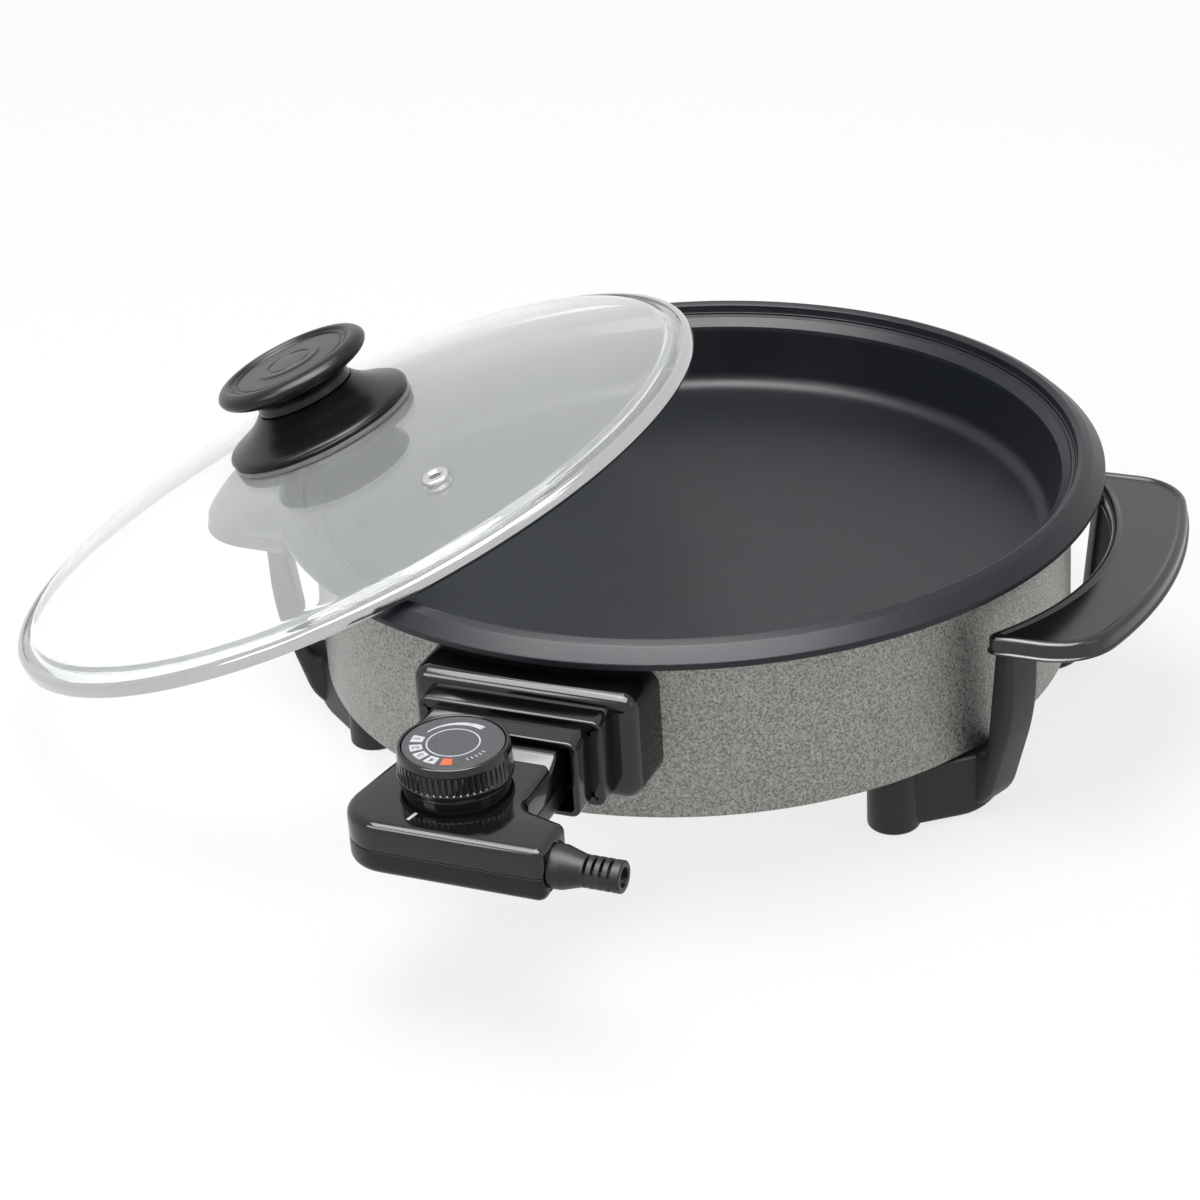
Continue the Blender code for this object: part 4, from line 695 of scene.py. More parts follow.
def turned(
    name: str,
    profile: Sequence[Point],
    steps: int = ROUND_STEPS,
    ring: bool = False,
    sharp: float = SHARP_DEG,
    shape_at: Callable[[float, float, float], float] | None = None,
) -> bpy.types.Object:
    """Turn a profile of radius and height round Z.

    Args:
        name: The object's name.
        profile: The profile's points.
        steps: Facets round the axis.
        ring: Whether the profile closes on itself.
        sharp: Edges over this angle, in degrees, stay sharp.
        shape_at: Gives the radius from the radius, the height and the angle.

    Returns:
        The new object.
    """
    shape = bmesh.new()
    columns = []
    for step in range(steps):
        angle = math.tau * step / steps
        column = []
        for radius, height in profile:
            reach = shape_at(radius, height, angle) if shape_at else radius
            column.append(shape.verts.new((reach * math.cos(angle), reach * math.sin(angle), height)))
        columns.append(column)
    rows = len(profile) if ring else len(profile) - 1
    for here, there in zip(columns, columns[1:] + columns[:1]):
        for row in range(rows):
            after = (row + 1) % len(profile)
            shape.faces.new((here[row], here[after], there[after], there[row]))
    bmesh.ops.remove_doubles(shape, verts=shape.verts, dist=1e-7)
    bmesh.ops.dissolve_degenerate(shape, edges=shape.edges, dist=1e-7)
    return from_bmesh(name, shape, sharp)


def lofted(name: str, rings: Sequence[Sequence[Vector]]) -> bpy.types.Object:
    """Join closed rings of equal length into one skin with filled ends.

    Args:
        name: The object's name.
        rings: The rings, in order.

    Returns:
        The new object.
    """
    shape = bmesh.new()
    layers = [[shape.verts.new(point) for point in ring] for ring in rings]
    for low, high in zip(layers, layers[1:]):
        for index in range(len(low)):
            after = (index + 1) % len(low)
            shape.faces.new((low[index], low[after], high[after], high[index]))
    shape.faces.new(layers[0])
    shape.faces.new(layers[-1])
    return from_bmesh(name, shape)


def flat_lift(x: float, y: float, z: float) -> Vector:
    """Return the point of a plan outline at a height."""
    return Vector((x, y, z))


def moulded(
    name: str,
    outline: Sequence[Point],
    low: float,
    high: float,
    low_round: float,
    high_round: float,
    lift: Lift = flat_lift,
) -> bpy.types.Object:
    """Make a slab with rounded edges.

    Args:
        name: The object's name.
        outline: The slab's anticlockwise outline.
        low: Where the slab starts.
        high: Where it ends.
        low_round: Radius at the low edge.
        high_round: Radius at the high edge.
        lift: Gives the point in space from the outline's two numbers and the height.

    Returns:
        The new object.
    """
    levels: list[tuple[float, float]] = []
    for turn, edge, sign, radius in ((0, low, 1.0, low_round), (1, high, -1.0, high_round)):
        steps = [(1.0 - math.cos(t), 1.0 - math.sin(t)) for t in quarter()]
        part = [(edge + sign * radius * rise, radius * inset) for rise, inset in steps]
        levels += part if turn == 0 else part[::-1]
    rings = []
    for height, inset in levels:
        rings.append([lift(x, y, height) for x, y in drawn_in(outline, inset)])
    return lofted(name, rings)


def quarter(steps: int = FILLET_STEPS) -> list[float]:
    """Return the angles of a quarter turn."""
    return [math.pi / 2 * step / steps for step in range(steps + 1)]


def rounded_box(
    name: str, low: Sequence[float], high: Sequence[float], radius: float, axis: int = 2
) -> bpy.types.Object:
    """Make a box with rounded corners and ends.

    Args:
        name: The object's name.
        low: Its lowest corner.
        high: Its highest corner.
        radius: The rounding.
        axis: The axis that its outline is square to.

    Returns:
        The new object.
    """
    first, second = [a for a in range(3) if a != axis]
    corner = radius * CORNER_SHARE
    outline = eased(
        [
            (low[first], low[second], corner),
            (high[first], low[second], corner),
            (high[first], high[second], corner),
            (low[first], high[second], corner),
        ],
        closed=True,
    )

    def lift(u: float, v: float, w: float) -> Vector:
        """Return the point with its coordinates in the box's order."""
        point = [0.0, 0.0, 0.0]
        point[first], point[second], point[axis] = u, v, w
        return Vector(point)

    return moulded(name, outline, low[axis], high[axis], radius, radius, lift)


def pin_along(
    name: str, radius: float, start: Sequence[float], end: Sequence[float], tip: float = 0.0
) -> bpy.types.Object:
    """Make a round pin between two points.

    Args:
        name: The object's name.
        radius: The pin's radius.
        start: The middle of its first end.
        end: The middle of its last end.
        tip: Rounding at its ends.

    Returns:
        The new object.
    """
    first, last = Vector(start), Vector(end)
    length = (last - first).length
    line = eased([(0.0, length, 0.0), (radius, length, tip), (radius, 0.0, tip), (0.0, 0.0, 0.0)], False)
    thing = turned(name, line, SMALL_STEPS // 2)
    turn = (last - first).to_track_quat("Z", "Y").to_matrix().to_4x4()
    thing.data.transform(Matrix.Translation(first) @ turn)
    return thing


def joined(name: str, parts: Sequence[bpy.types.Object], sharp: float = SHARP_DEG) -> bpy.types.Object:
    """Gather several shapes into one object.

    Args:
        name: The object's name.
        parts: The shapes, which are removed.
        sharp: Edges over this angle, in degrees, stay sharp.

    Returns:
        The new object.
    """
    shape = bmesh.new()
    for part in parts:
        mesh = part.data
        mesh.transform(part.matrix_world)
        shape.from_mesh(mesh)
        bpy.data.objects.remove(part, do_unlink=True)
        bpy.data.meshes.remove(mesh)
    mesh = bpy.data.meshes.new(name)
    shape.to_mesh(mesh)
    shape.free()
    shade(mesh, sharp)
    return new_object(name, mesh)


def carved(thing: bpy.types.Object, tools: Sequence[bpy.types.Object]) -> bpy.types.Object:
    """Cut shapes out of an object.

    Args:
        thing: The object that is cut.
        tools: The shapes, which are removed.

    Returns:
        The object, with its new mesh.
    """
    for tool in tools:
        cut = thing.modifiers.new(tool.name, "BOOLEAN")
        cut.operation = "DIFFERENCE"
        cut.solver = "EXACT"
        cut.object = tool
    bpy.context.view_layer.update()
    graph = bpy.context.evaluated_depsgraph_get()
    mesh = bpy.data.meshes.new_from_object(thing.evaluated_get(graph))
    thing.modifiers.clear()
    thing.data = mesh
    for tool in tools:
        bpy.data.objects.remove(tool, do_unlink=True)
    shade(mesh, SHARP_DEG)
    return thing


def dress(
    thing: bpy.types.Object, finish: Finish, slot: Slot, body: Body, *nodes: str
) -> bpy.types.Object:
    """Give a piece its finish, its body and the nodes that it stands for.

    Args:
        thing: The piece.
        finish: Its finish.
        slot: Not used.
        body: The body that it moves with.
        *nodes: The solids that it replaces.

    Returns:
        The piece.
    """
    thing.data.materials.clear()
    thing.data.materials.append(finish.material())
    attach(thing, body.value)
    if nodes:
        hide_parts(*nodes)
    LOG.info("%s: %d faces on %s", thing.name, len(thing.data.polygons), body.value)
    return thing


def refinish(nodes: Mapping[str, bpy.types.Object], names: Iterable[str], finish: Finish) -> None:
    """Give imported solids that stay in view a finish.

    Args:
        nodes: The frame's nodes.
        names: The names of the solids.
        finish: Their finish.
    """
    for name in names:
        slots = nodes[name].data.materials
        slots.clear()
        slots.append(finish.material())
        LOG.info("%s: solid kept, finish %s", name, finish.title)


# Sub-assemblies


@dataclass(frozen=True)
class PanBody:
    """The cast pan, the jacket that it hangs in, and the base plate."""

    lip_radius: float = 0.160
    lip_height: float = 0.029
    lip_fold: float = 0.0025
    rim_width: float = 0.0164
    rim_rise: float = 0.0062
    wall_top_radius: float = 0.1432
    wall_top_height: float = 0.025
    wall_foot_radius: float = 0.1408
    floor_fillet: float = 0.007
    floor_thickness: float = 0.004
    seat_radius: float = 0.1458
    heel_radius: float = 0.1436
    jacket_radius: float = 0.1472
    jacket_thickness: float = 0.0008
    jacket_bottom: float = -0.0408
    hem: float = 0.004
    hem_round: float = 0.0012
    base_top: float = -0.0387
    base_thickness: float = 0.001
    panel_radius: float = 0.085
    panel_rise: float = 0.002
    post_radius: float = 0.006
    posts: tuple[Point, ...] = ((0.107, 0.078), (0.107, -0.078), (-0.107, 0.078), (-0.107, -0.078))
    well_radius: float = 0.006
    well_height: float = -0.0068
    well_ends: Point = (-0.137, -0.068)
    window: Point = (0.028, 0.010)

    def rim_line(self) -> list[tuple[float, float, float]]:
        """Return the rim's corners from the ledge out to the lip, as radius, height and rounding."""
        shares = (
            (1.0, -0.387, 0.0006),
            (0.80, 0.10, 0.0004),
            (0.765, 0.258, 0.0003),
            (0.69, 0.258, 0.0003),
            (0.664, 0.13, 0.0004),
            (0.635, 0.80, 0.0007),
            (0.50, 1.0, 0.0011),
            (0.30, 0.76, 0.0026),
            (0.0, 0.0, 0.0009),
        )
        return [
            (self.lip_radius - inset * self.rim_width, self.lip_height + rise * self.rim_rise, turn)
            for inset, rise, turn in shares
        ]

    def pan(self) -> bpy.types.Object:
        """Return the cast pan with its posts and its sensor well."""
        under = self.lip_height - self.lip_fold
        line = [
            (0.0, 0.0, 0.0),
            (self.wall_foot_radius, 0.0, self.floor_fillet),
            (self.wall_top_radius, self.wall_top_height, 0.0015),
            *self.rim_line(),
            (self.lip_radius, under, 0.0007),
            (self.seat_radius, under, 0.0008),
            (self.heel_radius, -self.floor_thickness, 0.007),
            (0.0, -self.floor_thickness, 0.0),
        ]
        shell = turned("pan_shell", eased(line, closed=False))
        root = -self.floor_thickness / 2
        foot = self.base_top + FIT
        parts = [shell]
        parts += [pin_along("post", self.post_radius, (x, y, foot), (x, y, root)) for x, y in self.posts]
        front, back = self.well_ends
        ends = (0.0, front, self.well_height), (0.0, back, self.well_height)
        parts.append(pin_along("well", self.well_radius - FIT, *ends, tip=0.001))
        return joined("pan_casting", parts)

    def jacket(self) -> bpy.types.Object:
        """Return the jacket: thin wall, hem below and the socket's window."""
        outer, inner = self.jacket_radius, self.jacket_radius - self.jacket_thickness
        top = self.lip_height - self.lip_fold - FIT
        line = [
            (inner, top, 0.0),
            (outer, top, 0.0003),
            (outer, self.jacket_bottom, self.hem_round),
            (outer - self.hem, self.jacket_bottom, 0.0003),
            (outer - self.hem, self.jacket_bottom + self.jacket_thickness, 0.0003),
            (inner, self.jacket_bottom + self.jacket_thickness, 0.0006),
        ]
        wall = turned("jacket_wall", eased(line, closed=True), ring=True)
        side, height = self.window
        window = rounded_box("window", (-side, -outer - 0.01, -0.0125), (side, -0.12, height), 0.001, 1)
        return carved(wall, [window])

    def base_plate(self) -> bpy.types.Object:
        """Return the pressed base plate."""
        edge = self.jacket_radius - self.jacket_thickness - FIT
        rise = self.base_top + self.panel_rise
        top = eased(
            [
                (0.0, rise, 0.0),
                (self.panel_radius, rise, 0.0012),
                (self.panel_radius + self.panel_rise, self.base_top, 0.0012),
                (edge, self.base_top, 0.0),
            ],
            closed=False,
        )
        bottom = [(radius, height - self.base_thickness) for radius, height in reversed(top)]
        return turned("base_pressing", top + bottom)

    def build(self) -> None:
        """Build and dress the pan, the jacket and the base plate."""
        dress(self.pan(), COATING, Slot.NONSTICK, Body.BASE, "pan")
        dress(self.jacket(), LACQUER, Slot.HAMMERTONE, Body.BASE, "body_jacket")
        dress(self.base_plate(), BRUSHED, Slot.STEEL, Body.BASE, "base_plate")


@dataclass(frozen=True)
class SleeveSize:
    """The sizes of one hollow step of the socket's shroud."""

    half: float
    low: float
    high: float
    front: float
    wall: float


@dataclass(frozen=True)
class Socket:
    """The housing on the jacket that the heat control plugs into."""

    jacket_radius: float = 0.1472
    flange_half: float = 0.043
    flange_front: float = -0.165
    flange_top: float = 0.021
    flange_bottom: float = -0.0212
    flange_round: float = 0.0056
    flange_corner: float = 0.0066
    root: SleeveSize = SleeveSize(half=0.0348, low=-0.0175, high=0.0163, front=-0.1755, wall=0.0062)
    mouth: SleeveSize = SleeveSize(half=0.0303, low=-0.016, high=0.0136, front=-0.187, wall=0.0024)
    shroud_round: float = 0.0036
    shroud_back: float = -0.1515
    mouth_round: float = 0.0011
    pin_x: float = 0.013
    pin_z: float = -0.0068
    pin_radius: float = 0.002
    pin_ends: Point = (-0.178, -0.1388)
    pin_tip: float = 0.0009

    def flange(self) -> bpy.types.Object:
        """Return the flange, whose back follows the jacket."""
        outline = eased(
            [
                (-self.flange_half, self.flange_bottom, self.flange_corner),
                (self.flange_half, self.flange_bottom, self.flange_corner),
                (self.flange_half, self.flange_top, self.flange_corner),
                (-self.flange_half, self.flange_top, self.flange_corner),
            ],
            closed=True,
        )
        seat = self.jacket_radius + FIT
        rings = [[Vector((x, -math.sqrt(seat**2 - x**2), z)) for x, z in outline]]
        steps = [(1.0 - math.cos(t), 1.0 - math.sin(t)) for t in quarter()]
        for rise, inset in reversed(steps):
            y = self.flange_front + self.flange_round * rise
            ring = drawn_in(outline, self.flange_round * inset)
            rings.append([Vector((x, y, z)) for x, z in ring])
        return lofted("socket_flange", rings)

    def sleeve(self, name: str, size: SleeveSize) -> bpy.types.Object:
        """Return one hollow step of the shroud that stands out of the flange.

        Args:
            name: The object's name.
            size: Half its width, its underside, its top, its mouth and its wall.

        Returns:
            The new object.
        """
        turn, lip, front, wall = self.shroud_round, self.mouth_round, size.front, size.wall
        edges = ((-1, size.low), (1, size.low), (1, size.high), (-1, size.high))
        outline = eased([(side * size.half, height, turn) for side, height in edges], closed=True)
        levels = [(self.shroud_back, 0.0), (front + lip, 0.0)]
        levels += [(front + lip * (1 - math.sin(t)), lip * (1 - math.cos(t))) for t in quarter(5)]
        levels += [(front, wall - lip * 0.3), (front + lip * 0.3, wall), (self.shroud_back, wall)]
        rings = [[Vector((x, y, z)) for x, z in drawn_in(outline, inset)] for y, inset in levels]
        return lofted(name, rings)

    def build(self) -> None:
        """Build and dress the housing and its two pins."""
        sleeves = [self.sleeve("root", self.root), self.sleeve("mouth", self.mouth)]
        housing = joined("socket_moulding", [self.flange(), *sleeves])
        dress(housing, GLOSSY, Slot.PHENOLIC, Body.BASE, "socket_housing")
        tip, tail = self.pin_ends
        for number, x in enumerate((-self.pin_x, self.pin_x), 1):
            ends = (x, tip, self.pin_z), (x, tail, self.pin_z)
            pin = pin_along(f"plug_pin_{number}", self.pin_radius, *ends, tip=self.pin_tip)
            dress(pin, POLISHED, Slot.STEEL, Body.BASE, f"terminal_pin_{number}")


@dataclass(frozen=True)
class Handle:
    """One moulding of grip, two legs and two feet."""

    side: Side
    outer_radius: float = 0.1918
    curve_centre: float = 0.052
    curve_radius: float = 0.1117
    half_length: float = 0.0728
    top: float = 0.0125
    thickness: float = 0.0072
    corner: float = 0.0245
    tip_round: float = 0.0036
    tip_least: float = 0.0008
    edge_round: float = 0.0022
    foot_lip: float = 0.0007
    foot_lip_height: float = 0.0013
    raised_rim: float = 0.0024
    dish: float = 0.0009
    leg_angle: float = math.radians(22.75)
    leg_width: float = 0.017
    leg_top_radius: float = 0.166
    leg_thickness: float = 0.0075
    leg_knee: float = -0.022
    leg_knee_bend: float = 0.1
    leg_foot_radius: float = 0.1525
    leg_heel_radius: float = 0.1535
    leg_bend: float = 0.0175
    leg_crook: float = 0.006
    leg_round: float = 0.0028
    toe_radius: float = 0.139
    toe_bottom: float = -0.067
    toe_top: float = -0.042
    web_width: float = 0.0145
    web_overrun: float = 0.0075
    web_sweep: float = 0.018
    foot: Point = (0.107, 0.078)
    foot_bottom: float = -0.068
    foot_top: float = -0.0403
    foot_radius: float = 0.010
    pocket_radius: float = 0.0046
    pocket_depth: float = 0.012

    def plan(self, inset: float) -> list[Point]:
        """Return the grip's outline: outer arc, rounded ends and a tighter inner arc, drawn in."""
        end, corner, outer = self.half_length - inset, self.corner - inset, self.outer_radius - inset
        tip, inner = max(self.tip_round - inset, self.tip_least), self.curve_radius + inset
        reach = outer - corner
        angle = math.asin((end - corner) / reach)
        centre = (reach * math.cos(angle), end - corner)
        tip_x = self.curve_centre + math.sqrt((inner + tip) ** 2 - (end - tip) ** 2)
        turn = math.atan2(end - tip, tip_x - self.curve_centre)
        half = [
            *arc((0.0, 0.0), outer, 0.0, angle, 20)[:-1],
            *arc(centre, corner, angle, math.pi / 2, 14),
            *arc((tip_x, end - tip), tip, math.pi / 2, math.pi + turn, 8),
            *arc((self.curve_centre, 0.0), inner, turn, 0.0, 24)[1:],
        ]
        return [(x, -y) for x, y in reversed(half[1:-1])] + half

    def grip(self) -> bpy.types.Object:
        """Return the grip: side wall on a thin lip, rounded rim and dished top."""
        low = self.top - self.thickness
        lip = self.foot_lip
        levels = [
            (low, 0.0006),
            (low + 0.0004, 0.0),
            (low + self.foot_lip_height - 0.0003, 0.0),
            (low + self.foot_lip_height, 0.0003),
            (low + self.foot_lip_height + 0.0002, lip),
        ]
        shoulder = self.top - self.edge_round
        for turn in quarter(8):
            rise, inset = math.sin(turn), 1.0 - math.cos(turn)
            levels.append((shoulder + self.edge_round * rise, lip + self.edge_round * inset))
        rim = lip + self.edge_round
        levels += [
            (self.top, rim + self.raised_rim * 0.12),
            (self.top - self.dish * 0.15, rim + self.raised_rim * 0.3),
            (self.top - self.dish * 0.85, rim + self.raised_rim * 0.55),
            (self.top - self.dish, rim + self.raised_rim * 0.8),
            (self.top - self.dish, rim + self.raised_rim),
        ]
        rings = [[Vector((x, y, height)) for x, y in self.plan(inset)] for height, inset in levels]
        return lofted("grip", rings)

    def leg(self, side: float) -> bpy.types.Object:
        """Return the leg, toe, web and foot on one side of the handle's axis."""
        top = self.top - self.thickness / 2
        outline = eased(
            [
                (self.leg_top_radius - self.leg_thickness, top, 0.0),
                (self.leg_heel_radius, self.toe_top, self.leg_crook),
                (self.toe_radius, self.toe_top, 0.001),
                (self.toe_radius, self.toe_bottom, 0.002),
                (self.leg_foot_radius, self.toe_bottom, self.leg_bend),
                (self.leg_top_radius, self.leg_knee, self.leg_knee_bend),
                (self.leg_top_radius, top, 0.0),
            ],
            closed=True,
            steps=10,
        )
        angle = side * self.leg_angle
        across = Vector((-math.sin(angle), math.cos(angle), 0.0))
        along = Vector((math.cos(angle), math.sin(angle), 0.0))

        def lift(reach: float, height: float, shift: float) -> Vector:
            """Return the point at a reach and height, shifted across the leg."""
            return along * reach + across * shift + Vector((0.0, 0.0, height))

        half = self.leg_width / 2
        strap = moulded("strap", outline, -half, half, self.leg_round, self.leg_round, lift)
        x, y = self.foot[0], side * self.foot[1]
        toe = along * (self.toe_radius + self.web_width / 2)
        return joined("leg", [strap, self.web((x, y), (toe.x, toe.y)), self.pad((x, y))])

    def web(self, foot: Point, toe: Point) -> bpy.types.Object:
        """Return the web that sweeps down from a toe to its foot."""
        start, end = Vector(foot), Vector(toe)
        ahead = (end - start).normalized()
        aside = Vector((-ahead.y, ahead.x))
        reach = (end - start).length + self.web_overrun
        outline = eased(
            [
                (0.0, self.toe_bottom, 0.0),
                (reach, self.toe_bottom, self.web_sweep),
                (reach, self.toe_top, 0.0),
                (0.0, self.toe_top, 0.0),
            ],
            closed=True,
            steps=12,
        )

        def lift(along: float, height: float, shift: float) -> Vector:
            """Return the point at a way along the web and a height, shifted across it."""
            spot = start + ahead * along + aside * shift
            return Vector((spot.x, spot.y, height))

        half = self.web_width / 2
        return moulded("web", outline, -half, half, self.leg_round, self.leg_round, lift)

    def pad(self, foot: Point) -> bpy.types.Object:
        """Return one foot with its screw pocket."""
        roof = self.foot_bottom + self.pocket_depth
        line = eased(
            [
                (0.0, self.foot_top, 0.0),
                (self.foot_radius - 0.0004, self.foot_top, 0.0005),
                (self.foot_radius, self.foot_bottom, 0.0016),
                (self.pocket_radius, self.foot_bottom, 0.0006),
                (self.pocket_radius, roof, 0.0004),
                (0.0, roof, 0.0),
            ],
            closed=False,
        )
        pad = turned("pad", line, SMALL_STEPS)
        pad.data.transform(Matrix.Translation((*foot, 0.0)))
        return pad

    def build(self) -> None:
        """Build and dress the moulding, glossy on the grip and matte on the legs."""
        name = self.side.name.lower()
        turn = Matrix.Rotation(self.side.value, 4, "Z")
        grip = self.grip()
        grip.name = f"grip_{name}"
        legs = joined(f"legs_{name}", [self.leg(-1.0), self.leg(1.0)])
        for thing, finish in ((grip, GRIP_BLACK), (legs, MATTE)):
            thing.data.transform(turn)
            dress(thing, finish, Slot.PHENOLIC, Body.BASE, f"handle_{name}")


@dataclass(frozen=True)
class HeatControl:
    """The plug-in control: case in two halves, neck, boot, rod and the parts inside."""

    top: float = 0.008
    parting: float = -0.0025
    bottom: float = -0.012
    edge_round: float = 0.0032
    seam: float = 0.00022
    neck_half: float = 0.0245
    neck_end: float = -0.168
    neck_top: float = 0.0106
    ramp_top: float = -0.190
    ramp_foot: float = -0.1940
    front: float = -0.246
    end_x: float = 0.043
    back: float = -0.2255
    crook: float = -0.220
    crook_round: float = 0.008
    left: float = -0.037
    shoulder: Point = (-0.0295, -0.2)
    shoulder_top: float = -0.195
    shoulder_round: float = 0.005
    corner: float = 0.016
    end_round: float = 0.0036
    dial: Point = (-0.0029, -0.2122)
    collar_radius: float = 0.0185
    collar_top: float = 0.0106
    boot_y: float = -0.236
    rod_radius: float = 0.0024
    rod_z: float = -0.0068
    rod_ends: Point = (-0.0723, -0.2029)
    mark: Point = (-0.0078, -0.2372)
    mark_half: Point = (0.0006, 0.0024)
    mark_turn: float = math.radians(-12.0)

    def plan(self) -> list[Point]:
        """Return the case's outline, anticlockwise."""
        return eased(
            [
                (self.left, self.front, self.corner),
                (self.end_x, self.front, self.end_round),
                (self.end_x, self.back, self.end_round),
                (self.neck_half, self.crook, self.crook_round),
                (self.neck_half, self.neck_end, 0.0008),
                (-self.neck_half, self.neck_end, 0.0008),
                (-self.neck_half, self.shoulder_top, self.shoulder_round / 2),
                (*self.shoulder, self.shoulder_round),
            ],
            closed=True,
            steps=12,
        )

    def hump(self) -> bpy.types.Object:
        """Return the raised neck with the ramp that runs down behind the dial."""
        half = self.neck_half
        low = self.parting + 0.002
        stations = [
            (self.neck_end - 0.0002, self.neck_top - 0.0006),
            (self.neck_end - 0.0008, self.neck_top),
            (self.ramp_top + 0.0012, self.neck_top),
            (self.ramp_top, self.neck_top - 0.00025),
            (self.ramp_top - 0.0009, self.neck_top - 0.0008),
            (self.ramp_foot + 0.0008, self.top + 0.0003),
            (self.ramp_foot, self.top - 0.0001),
            (self.ramp_foot - 0.002, self.top - 0.0012),
        ]
        rings = []
        for y, height in stations:
            ring = eased(
                [
                    (-half + 0.0001, low, 0.0),
                    (half - 0.0001, low, 0.0),
                    (half - 0.0001, height, 0.0016),
                    (-half + 0.0001, height, 0.0016),
                ],
                closed=True,
            )
            rings.append([Vector((x, y, z)) for x, z in ring])
        return lofted("hump", rings)

    def collar(self) -> bpy.types.Object:
        """Return the glossy collar that the dial turns on."""
        line = eased(
            [
                (0.0, self.collar_top, 0.0),
                (self.collar_radius, self.collar_top, 0.0006),
                (self.collar_radius, self.top, 0.0),
                (self.collar_radius + 0.0006, self.top - 0.0004, 0.0),
            ],
            closed=False,
        )
        thing = turned("collar", line, SMALL_STEPS * 2)
        thing.data.transform(Matrix.Translation((*self.dial, 0.0)))
        return thing

    def case(self) -> tuple[bpy.types.Object, bpy.types.Object]:
        """Return the two halves of the case, chamfered where they meet."""
        outline = self.plan()
        upper = moulded("upper", outline, self.parting, self.top, self.seam, self.edge_round)
        lower = moulded("case_bottom", outline, self.bottom, self.parting - FIT, self.edge_round, self.seam)
        recess = [
            pin_along(
                "recess",
                0.0086,
                (self.end_x - 0.001, self.boot_y, self.parting),
                (self.end_x + 0.01, self.boot_y, self.parting),
            )
            for _ in range(2)
        ]
        carved(upper, recess[:1])
        carved(lower, recess[1:])
        return joined("case_top", [upper, self.hump(), self.collar()]), lower

    def boot(self) -> bpy.types.Object:
        """Return the rubber boot with its collar, cone and slotted sleeve."""
        line = eased(
            [
                (0.0034, 0.0675, 0.0004),
                (0.0056, 0.0675, 0.0007),
                (0.0056, 0.0534, 0.003),
                (0.0076, 0.0466, 0.0016),
                (0.0078, 0.0424, 0.0005),
                (0.0055, 0.0424, 0.0),
                (0.0055, 0.0398, 0.0),
                (0.0034, 0.0398, 0.0),
            ],
            closed=True,
        )
        boot = turned("boot", line, SMALL_STEPS, ring=True)
        boot.data.transform(Matrix.Rotation(math.pi / 2, 4, "Y"))
        slits = []
        for index in range(4):
            start = 0.0545 + index * 0.0029
            for low, high in ((0.0017, 0.009), (-0.009, -0.0017)):
                slits.append(
                    rounded_box("slit", (start, -0.009, low), (start + 0.0012, 0.009, high), 0.00028, 1)
                )
        carved(boot, slits)
        boot.data.transform(Matrix.Translation((0.0, self.boot_y, self.parting)))
        boot.name = "cord_sleeve"
        return boot

    def index_mark(self) -> bpy.types.Object:
        """Return the white dash that the dial is read against."""
        x, y = self.mark
        high = self.top + 0.00008
        side, end = self.mark_half
        mark = rounded_box("index_mark", (-side, -end, self.top - 0.0002), (side, end, high), 0.0001)
        mark.data.transform(Matrix.Translation((x, y, 0.0)) @ Matrix.Rotation(self.mark_turn, 4, "Z"))
        return mark

    def build(self, nodes: Mapping[str, bpy.types.Object]) -> None:
        """Build and dress the control.

        Args:
            nodes: The frame's nodes.
        """
        upper, lower = self.case()
        dress(upper, GLOSSY, Slot.PHENOLIC, Body.CONTROL, "control_top")
        dress(lower, SATIN, Slot.PHENOLIC, Body.CONTROL, "control_bottom")
        dress(self.boot(), BOOT_RUBBER, Slot.RUBBER, Body.CONTROL, "cord_boot")
        dress(self.index_mark(), WHITE_INK, Slot.PRINT, Body.CONTROL)
        tip, root = self.rod_ends
        rod = pin_along(
            "sensor_probe", self.rod_radius, (0.0, root, self.rod_z), (0.0, tip, self.rod_z), 0.0012
        )
        dress(rod, RODS, Slot.STEEL, Body.CONTROL, "sensor_rod")
        refinish(nodes, ["case_screw_1", "case_screw_2", "case_screw_3", "switch_frame"], SCREW_STEEL)
        refinish(nodes, ["pin_socket_1", "pin_socket_2", "contact_leaf_1", "contact_leaf_2"], BRASS)
        refinish(nodes, [f"stack_insulator_{n}" for n in (1, 2, 3)], CERAMIC)


